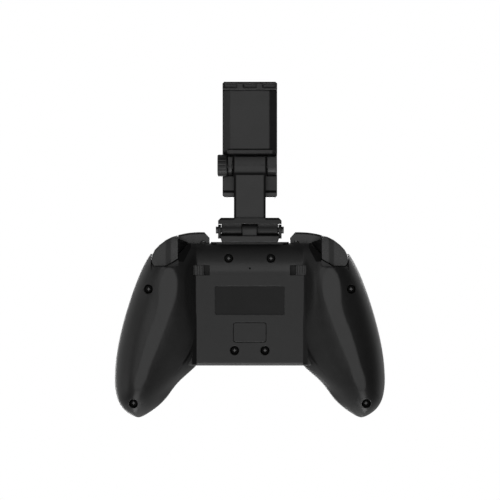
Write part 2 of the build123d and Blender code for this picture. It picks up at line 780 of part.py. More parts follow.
# Thumbstick modules: housing, pressed carriage, rocker and the stick with its domed skirt
for side, place in stick_places.items():
    with BuildPart() as stick_base:
        with BuildSketch(Plane.XY.offset(port_z)):
            with Locations(place):
                Rectangle(stick_base_width, stick_base_width)
                inner_width = stick_base_width - 2 * stick_base_wall
                Rectangle(inner_width, inner_width, mode=Mode.SUBTRACT)
        extrude(amount=stick_base_height)
        with BuildSketch(Plane.XY.offset(port_z + stick_base_height - 1.0)):
            with Locations(place):
                Rectangle(stick_base_width, stick_base_width)
                Circle(stick_neck + 1.2, mode=Mode.SUBTRACT)
        extrude(amount=1.0)
    stick_base.part.label = side + "_stick_base"
    export_step(stick_base.part, "parts/" + side + "_stick_base.step")

    with BuildPart() as carriage:
        with BuildSketch(Plane.XY.offset(port_z + 0.75)):
            with Locations(place):
                Rectangle(carriage_width, carriage_width)
        extrude(amount=0.7)
        with BuildSketch(Plane.XY.offset(port_z + 1.4)):
            with Locations(place):
                with GridLocations(10.6, 0, 2, 1):
                    Rectangle(1.3, 3.2)
        extrude(amount=stick_pivot_z - port_z - 1.4)
        with BuildSketch(Plane.YZ.offset(place[0] - 8)):
            with Locations((place[1], stick_pivot_z)):
                Circle(1.05)
        extrude(amount=16, mode=Mode.SUBTRACT)
    carriage.part.label = side + "_stick_carriage"
    export_step(carriage.part, "parts/" + side + "_stick_carriage.step")

    with BuildPart() as rocker:
        with BuildSketch(Plane.XY.offset(stick_pivot_z - 0.9)):
            with Locations(place):
                Rectangle(8.8, 3.4)
                Rectangle(5.6, 2.2, mode=Mode.SUBTRACT)
        extrude(amount=1.8)
        with BuildSketch(Plane.YZ.offset(place[0] + 4.2)):
            with Locations((place[1], stick_pivot_z)):
                Circle(0.98)
        extrude(amount=1.7)
        with BuildSketch(Plane.YZ.offset(place[0] - 5.9)):
            with Locations((place[1], stick_pivot_z)):
                Circle(0.98)
        extrude(amount=1.7)
    rocker.part.label = side + "_stick_rocker"
    export_step(rocker.part, "parts/" + side + "_stick_rocker.step")

    with BuildPart() as thumbstick:
        with BuildSketch(upright(*place)) as stick_half:
            with BuildLine():
                skirt_inner_low = (skirt_inner * 0.94, stick_pivot_z + skirt_inner * 0.342)
                skirt_outer_low = (skirt_radius * 0.94, stick_pivot_z + skirt_radius * 0.342)
                inner_top = (1.0, stick_pivot_z + (skirt_inner**2 - 1.0) ** 0.5)
                neck_low = (stick_neck, stick_pivot_z + (skirt_radius**2 - stick_neck**2) ** 0.5)
                Polyline((0, stick_pivot_z - 1.4), (1.0, stick_pivot_z - 1.4), inner_top)
                RadiusArc(inner_top, skirt_inner_low, skirt_inner)
                Line(skirt_inner_low, skirt_outer_low)
                RadiusArc(skirt_outer_low, neck_low, -skirt_radius)
                Line(neck_low, (stick_neck, stick_top - 5.6))
                RadiusArc((stick_neck, stick_top - 5.6), (cap_radius, stick_top - 2.6), 9.0)
                Line((cap_radius, stick_top - 2.6), (cap_radius, stick_top - 1.0))
                RadiusArc((cap_radius, stick_top - 1.0), (cap_radius - 1.6, stick_top - 0.1), -1.3)
                dish_low = (0, stick_top - 0.1 - cap_dish)
                TangentArc(dish_low, (cap_radius - 1.6, stick_top - 0.1), tangent=(1, 0))
                Line(dish_low, (0, stick_pivot_z - 1.4))
            make_face()
        revolve(axis=Axis((place[0], place[1], 0), (0, 0, 1)))
    thumbstick.part.label = side + "_thumbstick"
    export_step(thumbstick.part, "parts/" + side + "_thumbstick.step")

# Direction pad: a cross over a retaining disc, rocking on a small plate
with BuildPart() as direction_pad:
    with BuildSketch(Plane.XY.offset(pad_pivot_z + 1.5)):
        with Locations(direction_place):
            Circle(10.5)
    extrude(amount=1.4)
    with BuildSketch(Plane.XY.offset(pad_pivot_z + 2.0)):
        with Locations(direction_place):
            Rectangle(pad_arm_length, pad_arm_width)
            Rectangle(pad_arm_width, pad_arm_length)
    extrude(amount=deck_z + 3.2 - pad_pivot_z - 2.0)
    chamfer(direction_pad.faces().sort_by(Axis.Z)[-1].edges(), 0.7)
    with BuildSketch(upright(*direction_place)):
        Polygon((0, deck_z + 1.9), (6.0, deck_z + 4.2), (0, deck_z + 4.2), align=None)
    revolve(axis=Axis((*direction_place, 0), (0, 0, 1)), mode=Mode.SUBTRACT)
direction_pad.part.label = "direction_pad"
export_step(direction_pad.part, "parts/direction_pad.step")

with BuildPart() as direction_plate:
    with BuildSketch(Plane.XY.offset(pad_pivot_z - 1.0)):
        with Locations(direction_place):
            Circle(5.5)
    extrude(amount=1.8)
    with BuildSketch(Plane.XY.offset(membrane_top + 0.6)):
        with Locations(direction_place):
            Circle(1.6)
    extrude(amount=pad_pivot_z - 1.0 - membrane_top - 0.6)
direction_plate.part.label = "direction_plate"
export_step(direction_plate.part, "parts/direction_plate.step")


def push_button(x, y, diameter, stand, crown):
    """A push button: crowned cap, retaining flange under the deck and a stem to the membrane."""
    radius = diameter / 2
    flange_high = deck_z - wall - 0.3
    with BuildPart() as button:
        with BuildSketch(upright(x, y)):
            with BuildLine():
                Polyline(
                    (0, deck_z + stand),
                    (0, membrane_top + button_travel + 0.3),
                    (2.0, membrane_top + button_travel + 0.3),
                    (2.0, flange_high - 1.2),
                    (radius + 0.7, flange_high - 1.2),
                    (radius + 0.7, flange_high),
                    (radius, flange_high),
                    (radius, deck_z + stand - crown - 0.4),
                    (radius - 0.4, deck_z + stand - crown),
                )
                TangentArc((0, deck_z + stand), (radius - 0.4, deck_z + stand - crown), tangent=(1, 0))
            make_face()
        revolve(axis=Axis((x, y, 0), (0, 0, 1)))
    return button.part


button_list = []
for name, turn in cluster_turns.items():
    spot = Vector(*cluster_place) + Vector(button_ring, 0).rotate(Axis.Z, turn)
    button_list.append((name + "_button", push_button(spot.X, spot.Y, button_diameter, 2.6, 0.9)))
for name, place in small_places.items():
    button_list.append((name + "_button", push_button(*place, small_button_diameter, 1.2, 0.3)))
button_list.append(("home_button", push_button(0, home_y, home_diameter, 1.0, 0.3)))
for name, button in button_list:
    button.label = name
    export_step(button, "parts/" + name + ".step")

# Rubber membranes on the board, with a dome under each contact
membrane_spots = {
    "cluster_membrane": (cluster_place, button_ring),
    "direction_membrane": (direction_place, 6.0),
}
for name, (place, ring) in membrane_spots.items():
    with BuildPart() as membrane:
        with BuildSketch(Plane.XY.offset(port_z)):
            with Locations(place):
                Circle(ring + 3.0)
                Circle(3.0, mode=Mode.SUBTRACT)
        extrude(amount=0.8)
        with BuildSketch(Plane.XY.offset(port_z)):
            with Locations(place):
                with PolarLocations(ring, 4):
                    Circle(2.6)
        extrude(amount=membrane_top - port_z)
    membrane.part.label = name
    export_step(membrane.part, "parts/" + name + ".step")

# Status light strip in the deck
with BuildPart() as light_guide:
    with BuildSketch(Plane.XY.offset(deck_z - wall)):
        with Locations((0, light_y)):
            SlotOverall(light_length, light_width)
    extrude(amount=wall)
    with BuildSketch(Plane.XY.offset(deck_z - wall - 1.0)):
        with Locations((0, light_y)):
            SlotOverall(light_length + 2.0, light_width + 2.0)
    extrude(amount=1.0)
light_guide.part.label = "light_guide"
export_step(light_guide.part, "parts/light_guide.step")

# Clip base: a block against the insert, held by two tongues, with a middle knuckle and two cheeks
with BuildPart() as clip_base:
    with BuildSketch(Plane.XY.offset(base_low_z)):
        Polygon(
            (-base_half_width + 1.1, base_face_y),
            (base_half_width - 1.1, base_face_y),
            (base_half_width, base_front_y),
            (-base_half_width, base_front_y),
            align=None,
        )
    extrude(amount=base_height)
    chamfer(clip_base.edges().filter_by(Axis.X).group_by(Axis.Z)[-1], 0.6)
    with BuildSketch(Plane.YZ.offset(-middle_knuckle)):
        with Locations((fold_y, fold_z)):
            Circle(knuckle_radius)
        with Locations((fold_y - 2.0, fold_z)):
            Rectangle(4.0, 2 * knuckle_radius)
    extrude(amount=2 * middle_knuckle)
    for side_x in (-cheek_inner - cheek_thick, cheek_inner):
        with BuildSketch(Plane.YZ.offset(side_x)):
            with Locations((fold_y, fold_z)):
                Circle(knuckle_radius)
            with Locations(((base_front_y + fold_y) / 2 - 0.8, fold_z)):
                Rectangle(fold_y - base_front_y + 1.6, 2 * knuckle_radius)
        extrude(amount=cheek_thick)
    with BuildSketch(Plane.XZ.offset(-base_face_y)):
        with Locations((-tongue_x, tongue_z), (tongue_x, tongue_z)):
            Rectangle(tongue_width, tongue_thick)
    extrude(amount=insert_thick + wall - 0.4)
    with BuildSketch(Plane.YZ.offset(-30)):
        with Locations((fold_y, fold_z)):
            Circle(fold_pin / 2 + 0.02)
    extrude(amount=60, mode=Mode.SUBTRACT)
clip_base.part.label = "clip_base"
export_step(clip_base.part, "parts/clip_base.step")

with BuildPart() as hinge_pin:
    with BuildSketch(Plane.YZ.offset(-cheek_inner - cheek_thick - pin_head_thick)):
        with Locations((fold_y, fold_z)):
            Circle(pin_head / 2)
    extrude(amount=pin_head_thick)
    with BuildSketch(Plane.YZ.offset(-cheek_inner - cheek_thick)):
        with Locations((fold_y, fold_z)):
            Circle(fold_pin / 2)
    extrude(amount=2 * (cheek_inner + cheek_thick))
    with BuildSketch(Plane.YZ.offset(cheek_inner + cheek_thick)):
        with Locations((fold_y, fold_z)):
            Circle(pin_head / 2)
    extrude(amount=pin_head_thick)
hinge_pin.part.label = "hinge_pin"
export_step(hinge_pin.part, "parts/hinge_pin.step")

# Clip arm: foot plate with two knuckles, the blade and the tilt barrel
with BuildPart() as clip_arm:
    with BuildSketch(Plane.XY.offset(fold_z - foot_thick / 2)):
        with Locations((0, foot_y + foot_depth / 2)):
            Rectangle(2 * (cheek_inner + cheek_thick), foot_depth)
    extrude(amount=foot_thick)
    chamfer(clip_arm.edges().filter_by(Axis.Z).group_by(Axis.Y)[-1], 1.6)
    for side_x in (-cheek_inner + knuckle_gap, middle_knuckle + knuckle_gap):
        with BuildSketch(Plane.YZ.offset(side_x)):
            with Locations((fold_y, fold_z)):
                Circle(knuckle_radius)
            with Locations((fold_y + 2.0, fold_z)):
                Rectangle(4.0, 5.0)
        extrude(amount=cheek_inner - middle_knuckle - 2 * knuckle_gap)
    with BuildSketch(Plane.XY.offset(arm_low)):
        with Locations((0, (foot_y + tilt_y) / 2)):
            Rectangle(2 * arm_half_width, tilt_y - foot_y)
    extrude(amount=arm_thick)
    fillet(clip_arm.edges().filter_by(Axis.Y).group_by(Axis.Z)[0], 0.6)
    with BuildSketch(Plane.YZ.offset(-tilt_half_width)):
        with Locations((tilt_y, tilt_z)):
            Circle(tilt_radius)
    extrude(amount=2 * tilt_half_width)
    with BuildSketch(Plane.YZ.offset(-30)):
        with Locations((fold_y, fold_z)):
            Circle(fold_pin / 2 + pin_fit)
        with Locations((tilt_y, tilt_z)):
            Circle(tilt_pin / 2 + pin_fit)
    extrude(amount=60, mode=Mode.SUBTRACT)
clip_arm.part.label = "clip_arm"
export_step(clip_arm.part, "parts/clip_arm.step")

# Clamp body: backing plate, slide housing above, tilt ears and the lower jaw
with BuildPart() as clamp_body:
    with BuildSketch(Plane.YZ.offset(-clamp_half_width)):
        Polygon(
            (clamp_low_y, clamp_back_z + lower_back_step),
            (clamp_low_y, clamp_front_z + jaw_reach - 1.5),
            (clamp_low_y + 1.5, clamp_front_z + jaw_reach),
            (clamp_low_y + jaw_thick + 1.6, clamp_front_z + jaw_reach),
            (clamp_low_y + jaw_thick + 1.6, clamp_front_z + jaw_reach - 2.4),
            (clamp_low_y + jaw_thick, clamp_front_z + jaw_reach - 4.0),
            (clamp_low_y + jaw_thick, clamp_front_z),
            (cap_y - 0.15, clamp_front_z),
            (cap_y - 0.15, clamp_back_z),
            (housing_y + 3.2, clamp_back_z),
            (housing_y + 3.0, clamp_back_z + 0.9),
            (housing_y, clamp_back_z + 3.0),
            (housing_y, tilt_z + tilt_radius + 0.5),
            (tilt_y - tilt_radius - 0.6, tilt_z + tilt_radius + 0.5),
            (tilt_y - tilt_radius - 0.6, clamp_back_z + lower_back_step),
            align=None,
        )
    extrude(amount=2 * clamp_half_width)
    back_edges = clamp_body.edges().filter_by(Axis.Y).group_by(Axis.Z)[0]
    back_face = clamp_body.faces().filter_by(Axis.Z).sort_by(Axis.Z)[0]
    chamfer(back_edges, 4.4, 2.0, reference=back_face)
    chamfer(clamp_body.edges().filter_by(Axis.Z).group_by(Axis.Y)[0], 1.0)
    with BuildSketch(Plane.YZ.offset(ear_inner)):
        with Locations((tilt_y, tilt_z)):
            Circle(tilt_radius)
        with Locations((tilt_y, tilt_z + 4.0)):
            Rectangle(2 * tilt_radius, 8.0)
    extrude(amount=ear_right - ear_inner)
    with BuildSketch(Plane.YZ.offset(-ear_left)):
        with Locations((tilt_y, tilt_z)):
            Circle(tilt_radius)
        with Locations((tilt_y, tilt_z + 4.0)):
            Rectangle(2 * tilt_radius, 8.0)
    extrude(amount=ear_left - ear_inner)
    with BuildSketch(Plane.YZ.offset(-30)):
        with Locations((tilt_y, tilt_z)):
            Circle(tilt_pin / 2 + 0.02)
    extrude(amount=60, mode=Mode.SUBTRACT)
    with BuildSketch(Plane.YZ.offset(ear_right + 0.01)):
        with Locations((tilt_y, tilt_z)):
            Circle(knob_radius + 0.5)
    extrude(amount=10, mode=Mode.SUBTRACT)
    with BuildSketch(Plane.XZ.offset(-cap_y - 1)):
        with Locations((0, (tongue_low + tongue_high) / 2)):
            Rectangle(2 * (tongue_half + slide_fit), tongue_high - tongue_low + 2 * slide_fit)
    extrude(amount=slide_depth + 1.3, mode=Mode.SUBTRACT)
clamp_body.part.label = "clamp_body"
export_step(clamp_body.part, "parts/clamp_body.step")

with BuildPart() as tilt_bolt:
    with BuildSketch(Plane.YZ.offset(-ear_left)):
        with Locations((tilt_y, tilt_z)):
            Circle(tilt_pin / 2)
    extrude(amount=ear_left + ear_right + 4.0)
tilt_bolt.part.label = "tilt_bolt"
export_step(tilt_bolt.part, "parts/tilt_bolt.step")

# Tilt knob: a ribbed knob on the end of the bolt
with BuildPart() as tilt_knob:
    with BuildSketch(Plane.YZ.offset(knob_inner)):
        with Locations((tilt_y, tilt_z)):
            Circle(knob_radius)
    extrude(amount=knob_length)
    chamfer(tilt_knob.edges().filter_by(GeomType.CIRCLE), 0.5)
    with BuildSketch(Plane.YZ.offset(knob_inner + 0.9)):
        with Locations((tilt_y, tilt_z)):
            with PolarLocations(knob_radius + 0.25, knob_grooves):
                Circle(knob_groove_radius)
    extrude(amount=knob_length, mode=Mode.SUBTRACT)
    with BuildSketch(Plane.YZ.offset(knob_inner - 1)):
        with Locations((tilt_y, tilt_z)):
            Circle(tilt_pin / 2 + pin_fit)
    extrude(amount=ear_right + 4.2 - knob_inner + 1, mode=Mode.SUBTRACT)
tilt_knob.part.label = "tilt_knob"
export_step(tilt_knob.part, "parts/tilt_knob.step")

# Upper jaw: cap, hook and the tongue that slides in the clamp body
with BuildPart() as upper_jaw:
    with BuildSketch(Plane.YZ.offset(-clamp_half_width)):
        Polygon(
            (cap_y, clamp_back_z),
            (cap_y, clamp_front_z + jaw_reach - 4.0),
            (cap_y - 1.6, clamp_front_z + jaw_reach - 2.4),
            (cap_y - 1.6, clamp_front_z + jaw_reach),
            (clamp_top_y - 1.5, clamp_front_z + jaw_reach),
            (clamp_top_y, clamp_front_z + jaw_reach - 1.5),
            (clamp_top_y, clamp_back_z + 0.8),
            (clamp_top_y - 0.8, clamp_back_z),
            align=None,
        )
    extrude(amount=2 * clamp_half_width)
    chamfer(upper_jaw.edges().filter_by(Axis.Z).group_by(Axis.Y)[-1], 1.0)
    with BuildSketch(Plane.XY.offset(clamp_back_z + cap_pocket_depth)):
        with Locations((0, cap_y + cap_height / 2)):
            with GridLocations(cap_pocket_pitch, 0, 3, 1):
                Rectangle(cap_pocket_length, cap_pocket_height)
    extrude(amount=-5, mode=Mode.SUBTRACT)
    with BuildSketch(Plane.XZ.offset(-cap_y)):
        with Locations((0, (tongue_low + tongue_high) / 2)):
            Rectangle(2 * tongue_half, tongue_high - tongue_low)
    extrude(amount=slide_depth)
upper_jaw.part.label = "upper_jaw"
export_step(upper_jaw.part, "parts/upper_jaw.step")

# Rubber pads on the jaws and on the front of the clamp body
with BuildPart() as upper_jaw_pad:
    with BuildSketch(Plane.XZ.offset(-cap_y)):
        with Locations((0, pad_middle_z)):
            RectangleRounded(2 * pad_half_width, pad_height, 1.5)
            with GridLocations(0, 2.0, 1, 6):
                Rectangle(2 * pad_half_width - 4.0, 0.8, mode=Mode.SUBTRACT)
    extrude(amount=pad_thick)
    with BuildSketch(Plane.XZ.offset(-cap_y)):
        with Locations((0, pad_middle_z)):
            RectangleRounded(2 * pad_half_width, pad_height, 1.5)
    extrude(amount=pad_thick / 2)
upper_jaw_pad.part.label = "upper_jaw_pad"
export_step(upper_jaw_pad.part, "parts/upper_jaw_pad.step")

with BuildPart() as lower_jaw_pad:
    with BuildSketch(Plane.XZ.offset(-clamp_low_y - jaw_thick)):
        with Locations((0, pad_middle_z)):
            RectangleRounded(2 * pad_half_width, pad_height, 1.5)
            with GridLocations(0, 2.0, 1, 6):
                Rectangle(2 * pad_half_width - 4.0, 0.8, mode=Mode.SUBTRACT)
    extrude(amount=-pad_thick)
    with BuildSketch(Plane.XZ.offset(-clamp_low_y - jaw_thick)):
        with Locations((0, pad_middle_z)):
            RectangleRounded(2 * pad_half_width, pad_height, 1.5)
    extrude(amount=-pad_thick / 2)
lower_jaw_pad.part.label = "lower_jaw_pad"
export_step(lower_jaw_pad.part, "parts/lower_jaw_pad.step")

with BuildPart() as back_pad:
    with BuildSketch(Plane.XY.offset(clamp_front_z)):
        with Locations((0, (clamp_low_y + jaw_thick + cap_y) / 2)):
            RectangleRounded(2 * pad_half_width, cap_y - clamp_low_y - jaw_thick - 6.0, 2.0)
    extrude(amount=pad_thick)
back_pad.part.label = "back_pad"
export_step(back_pad.part, "parts/back_pad.step")
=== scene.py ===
from math import pi, radians

import bmesh
import bpy
from mathutils import Matrix, Vector


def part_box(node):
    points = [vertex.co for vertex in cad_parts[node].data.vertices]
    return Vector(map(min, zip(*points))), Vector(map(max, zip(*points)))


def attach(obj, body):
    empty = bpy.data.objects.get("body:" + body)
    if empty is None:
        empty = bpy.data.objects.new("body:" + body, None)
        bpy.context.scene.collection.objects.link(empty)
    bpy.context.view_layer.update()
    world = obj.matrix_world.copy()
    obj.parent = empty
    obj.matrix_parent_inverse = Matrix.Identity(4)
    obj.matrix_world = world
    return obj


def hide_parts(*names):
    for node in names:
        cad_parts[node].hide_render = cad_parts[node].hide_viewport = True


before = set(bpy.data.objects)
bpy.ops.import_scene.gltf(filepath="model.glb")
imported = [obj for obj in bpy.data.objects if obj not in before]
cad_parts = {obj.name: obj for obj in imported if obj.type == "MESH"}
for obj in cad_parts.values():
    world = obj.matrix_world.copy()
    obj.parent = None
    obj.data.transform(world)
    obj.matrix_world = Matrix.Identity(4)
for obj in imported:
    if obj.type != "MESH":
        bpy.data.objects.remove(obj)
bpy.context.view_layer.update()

# Rear shell. The lower half of the housing with both grips, moulded in black ABS. Its tool leaves a
# fine matt grain, hands polish the crests of the grips, and the edges go paler where they rub. Two
# webs stand at the corners of the arch between the grips.
GRAIN_SOCKETS = [
    ("Position", "NodeSocketVector", None),
    ("Grain Size", "NodeSocketFloat", 0.4),
    ("Roughness", "NodeSocketFloat", 0.45),
    ("Handling", "NodeSocketFloat", 0.15),
]
MILLIMETRES_A_METRE = 1000.0
CLOUD_SCALE, SMEAR_SCALE, RUB_SCALE = 26.0, 170.0, 330.0
PIT_GLOSS, WEAR_REACH = 0.12, 1.4
EDGE_SAMPLES = 6
# The first black is painted shade, for places that would lie in shade; the second is the seams' own dark.
PAINTED_SHADE_BLACK, SEAM_BLACK = 0.001, 0.004


def effect_group(name, inputs, outputs):
    """An empty shader group with named sockets: its tree, its way in and its way out."""
    tree = bpy.data.node_groups.new(name, "ShaderNodeTree")
    for label, kind, value in inputs:
        socket = tree.interface.new_socket(name=label, in_out="INPUT", socket_type=kind)
        if value is not None:
            socket.default_value = value
    for label in outputs:
        tree.interface.new_socket(name=label, in_out="OUTPUT", socket_type="NodeSocketFloat")
    way_in = tree.nodes.new("NodeGroupInput")
    way_out = tree.nodes.new("NodeGroupOutput")
    return tree, way_in.outputs, way_out.inputs


def feed(tree, value, socket):
    """Links a value that varies over the surface, or sets one that doesn't."""
    if isinstance(value, bpy.types.NodeSocket):
        tree.links.new(value, socket)
    else:
        socket.default_value = value


def maths(tree, operation, *values, clamp=False):
    """One step of reckoning on values that vary over the surface."""
    node = tree.nodes.new("ShaderNodeMath")
    node.operation = operation
    node.use_clamp = clamp
    for slot, value in enumerate(values):
        feed(tree, value, node.inputs[slot])
    return node.outputs[0]


def mean(tree, first, second):
    return maths(tree, "MULTIPLY_ADD", first, 0.5, maths(tree, "MULTIPLY", second, 0.5))


def noise(tree, position, scale, detail, stretch=None):
    """Soft random mottling, drawn out along an axis where stretch is given."""
    if stretch:
        mapping = tree.nodes.new("ShaderNodeMapping")
        mapping.inputs["Scale"].default_value = stretch
        tree.links.new(position, mapping.inputs["Vector"])
        position = mapping.outputs[0]
    node = tree.nodes.new("ShaderNodeTexNoise")
    node.inputs["Detail"].default_value = detail
    node.inputs["Roughness"].default_value = 0.6
    tree.links.new(position, node.inputs["Vector"])
    feed(tree, scale, node.inputs["Scale"])
    return node.outputs[0]


def span(tree, value, low, high, to_low=0.0, to_high=1.0):
    """Eases from one number to another while a value goes from low to high."""
    node = tree.nodes.new("ShaderNodeMapRange")
    node.interpolation_type = "SMOOTHSTEP"
    for slot, number in enumerate((value, low, high, to_low, to_high)):
        feed(tree, number, node.inputs[slot])
    return node.outputs[0]


grain_group, given, put = effect_group("Moulded grain", GRAIN_SOCKETS, ["Tone", "Roughness", "Height"])
grain_scale = maths(grain_group, "DIVIDE", MILLIMETRES_A_METRE, given["Grain Size"])
pits = noise(grain_group, given["Position"], grain_scale, 3.0)
clouds = noise(grain_group, given["Position"], CLOUD_SCALE, 3.0)
smears = noise(grain_group, given["Position"], SMEAR_SCALE, 4.0)
mottle = mean(grain_group, smears, clouds)
swing = maths(grain_group, "MULTIPLY", maths(grain_group, "SUBTRACT", mottle, 0.5), given["Handling"])
off_mean = maths(grain_group, "SUBTRACT", pits, 0.5)
speck = maths(grain_group, "MULTIPLY_ADD", off_mean, PIT_GLOSS, swing)
grain_group.links.new(span(grain_group, mean(grain_group, pits, mottle), 0.3, 0.7), put["Tone"])
grain_group.links.new(maths(grain_group, "ADD", given["Roughness"], speck, clamp=True), put["Roughness"])
grain_group.links.new(pits, put["Height"])

WEAR_SOCKETS = [("Position", "NodeSocketVector", None), ("Reach", "NodeSocketFloat", 0.0004)]
wear_group, given, put = effect_group("Edge wear", WEAR_SOCKETS, ["Wear"])
rounded = wear_group.nodes.new("ShaderNodeBevel")
rounded.samples = EDGE_SAMPLES
wear_group.links.new(given["Reach"], rounded.inputs["Radius"])
likeness = wear_group.nodes.new("ShaderNodeVectorMath")
likeness.operation = "DOT_PRODUCT"
wear_group.links.new(rounded.outputs[0], likeness.inputs[0])
wear_group.links.new(wear_group.nodes.new("ShaderNodeNewGeometry").outputs["Normal"], likeness.inputs[1])
edge = span(wear_group, likeness.outputs["Value"], 0.99, 0.9)
patchy = span(wear_group, noise(wear_group, given["Position"], RUB_SCALE, 4.0), 0.42, 0.62)
wear_group.links.new(maths(wear_group, "MULTIPLY", edge, patchy), put["Wear"])


def blend_colours(tree, factor, first, second):
    node = tree.nodes.new("ShaderNodeMix")
    node.data_type = "RGBA"
    feed(tree, factor, node.inputs[0])
    feed(tree, first, node.inputs[6])
    feed(tree, second, node.inputs[7])
    return node.outputs[2]


def grey(level, tint=(1.0, 1.0, 1.0)):
    return (level * tint[0], level * tint[1], level * tint[2], 1.0)


def group_node(tree, group, **values):
    """Places a shader group in a material with its own values."""
    node = tree.nodes.new("ShaderNodeGroup")
    node.node_tree = group
    for label, value in values.items():
        feed(tree, value, node.inputs[label.replace("_", " ")])
    return node


def new_material(name):
    """A material with its tree, its shader and the place on the piece."""
    material = bpy.data.materials.new(name)
    material.use_nodes = True
    tree = material.node_tree
    position = tree.nodes.new("ShaderNodeTexCoord").outputs["Object"]
    return material, tree, tree.nodes["Principled BSDF"], position


def moulded(
    name, dark, pale, edge_wear_and_shade, roughness,
    grain=0.4, depth=0.00004, handling=0.2, soft=0.0003, specular=0.5,
):
    """A moulded plastic or rubber: grain in its colour, gloss and surface, and its edges in an edge tone:
    paler wear on most, a darker painted shade on the clip's black nylon.
    """
    material, tree, shader, position = new_material(name)
    surface = group_node(
        tree, grain_group, Position=position, Grain_Size=grain, Roughness=roughness, Handling=handling)
    rubbed = group_node(tree, wear_group, Position=position, Reach=soft * WEAR_REACH)
    colour = blend_colours(tree, surface.outputs["Tone"], dark, pale)
    colour = blend_colours(tree, rubbed.outputs["Wear"], colour, edge_wear_and_shade)
    tree.links.new(colour, shader.inputs["Base Color"])
    tree.links.new(surface.outputs["Roughness"], shader.inputs["Roughness"])
    shader.inputs["Specular IOR Level"].default_value = specular
    softened = tree.nodes.new("ShaderNodeBevel")
    softened.samples = EDGE_SAMPLES
    softened.inputs["Radius"].default_value = soft
    bump = tree.nodes.new("ShaderNodeBump")
    bump.inputs["Strength"].default_value = 0.5
    bump.inputs["Distance"].default_value = depth
    tree.links.new(surface.outputs["Height"], bump.inputs["Height"])
    tree.links.new(softened.outputs[0], bump.inputs["Normal"])
    tree.links.new(bump.outputs[0], shader.inputs["Normal"])
    return material


def dress(material, *nodes):
    """Gives carried-over nodes their material."""
    for node in nodes:
        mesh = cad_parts[node].data
        mesh.materials.clear()
        mesh.materials.append(material)


def place_on(tree):
    """The X, Y and Z of the place on the piece."""
    parts = tree.nodes.new("ShaderNodeSeparateXYZ")
    tree.links.new(tree.nodes.new("ShaderNodeTexCoord").outputs["Object"], parts.inputs[0])
    return parts.outputs


def facing_of(tree):
    """The X, Y and Z of the way that the flat face points."""
    parts = tree.nodes.new("ShaderNodeSeparateXYZ")
    tree.links.new(tree.nodes.new("ShaderNodeNewGeometry").outputs["True Normal"], parts.inputs[0])
    return parts.outputs


def towards(tree, x=0.0, y=0.0, z=-1.0):
    """A direction whose parts may vary over the surface."""
    node = tree.nodes.new("ShaderNodeCombineXYZ")
    for slot, part in enumerate((x, y, z)):
        feed(tree, part, node.inputs[slot])
    return node.outputs[0]


def in_all(tree, first, *others):
    """The places that lie in every one of several masks."""
    for other in others:
        first = maths(tree, "MULTIPLY", first, other)
    return first


def in_any(tree, first, *others):
    """The places that lie in any of several masks."""
    for other in others:
        first = maths(tree, "MAXIMUM", first, other)
    return first


def within(tree, value, low, high, soft):
    """The places where a value lies between two limits."""
    return in_all(tree, span(tree, value, low, low + soft), span(tree, value, high, high - soft))


def turn_normals(material, mask, normal):
    """Shades the places in a mask as if they faced along a normal."""
    tree = material.node_tree
    bump = next(n for n in tree.nodes if n.bl_idname == "ShaderNodeBump")
    mixed = tree.nodes.new("ShaderNodeMix")
    mixed.data_type = "VECTOR"
    tree.links.new(mask, mixed.inputs[0])
    tree.links.new(bump.inputs["Normal"].links[0].from_socket, mixed.inputs[4])
    feed(tree, normal, mixed.inputs[5])
    unit = tree.nodes.new("ShaderNodeVectorMath")
    unit.operation = "NORMALIZE"
    tree.links.new(mixed.outputs[1], unit.inputs[0])
    tree.links.new(unit.outputs[0], bump.inputs["Normal"])


def rub_glossy(material, amount):
    """Makes a material glossier by an amount that varies over it."""
    tree = material.node_tree
    roughness = tree.nodes["Principled BSDF"].inputs["Roughness"]
    tree.links.new(maths(tree, "SUBTRACT", roughness.links[0].from_socket, amount), roughness)


def paint(material, mask, colour):
    """Colours the places in a mask."""
    tree = material.node_tree
    base = tree.nodes["Principled BSDF"].inputs["Base Color"]
    tree.links.new(blend_colours(tree, mask, base.links[0].from_socket, colour), base)


def paint_shade(material, shade_mask):
    """Paints shade over the places in a mask: painted black, and too rough to shine."""
    paint(material, shade_mask, grey(PAINTED_SHADE_BLACK))
    tree = material.node_tree
    roughness = tree.nodes["Principled BSDF"].inputs["Roughness"]
    tree.links.new(in_any(tree, roughness.links[0].from_socket, shade_mask), roughness)


def add_seam(material, height, half_width):
    """A dark groove round the body at one height, where two mouldings meet."""
    tree = material.node_tree
    shader = tree.nodes["Principled BSDF"]
    away = maths(tree, "ABSOLUTE", maths(tree, "SUBTRACT", place_on(tree)["Z"], height))
    outside = span(tree, away, half_width * 0.5, half_width)
    below = shader.inputs["Base Color"].links[0].from_socket
    tree.links.new(blend_colours(tree, outside, grey(SEAM_BLACK), below), shader.inputs["Base Color"])
    bump = tree.nodes.new("ShaderNodeBump")
    bump.inputs["Distance"].default_value = half_width
    tree.links.new(outside, bump.inputs["Height"])
    tree.links.new(shader.inputs["Normal"].links[0].from_socket, bump.inputs["Normal"])
    tree.links.new(bump.outputs[0], shader.inputs["Normal"])


CREST_SOFT, SHELL_SOFT = 0.002, 0.0005
shell_black = moulded(
    "shell_black", grey(0.021), grey(0.03), grey(0.055), 0.47, grain=0.45, soft=SHELL_SOFT)
shell = shell_black.node_tree
shell_place, shell_facing = place_on(shell), facing_of(shell)
off_middle = maths(shell, "ABSOLUTE", shell_place["X"])
steepness = maths(shell, "ABSOLUTE", shell_facing["X"])

CREST_LOW_Z, CREST_HIGH_Z = 0.0001, 0.0006
softened = next(n for n in shell.nodes if n.bl_idname == "ShaderNodeBevel")
softness = span(shell, shell_place["Z"], CREST_LOW_Z, CREST_HIGH_Z, CREST_SOFT, SHELL_SOFT)
shell.links.new(softness, softened.inputs["Radius"])

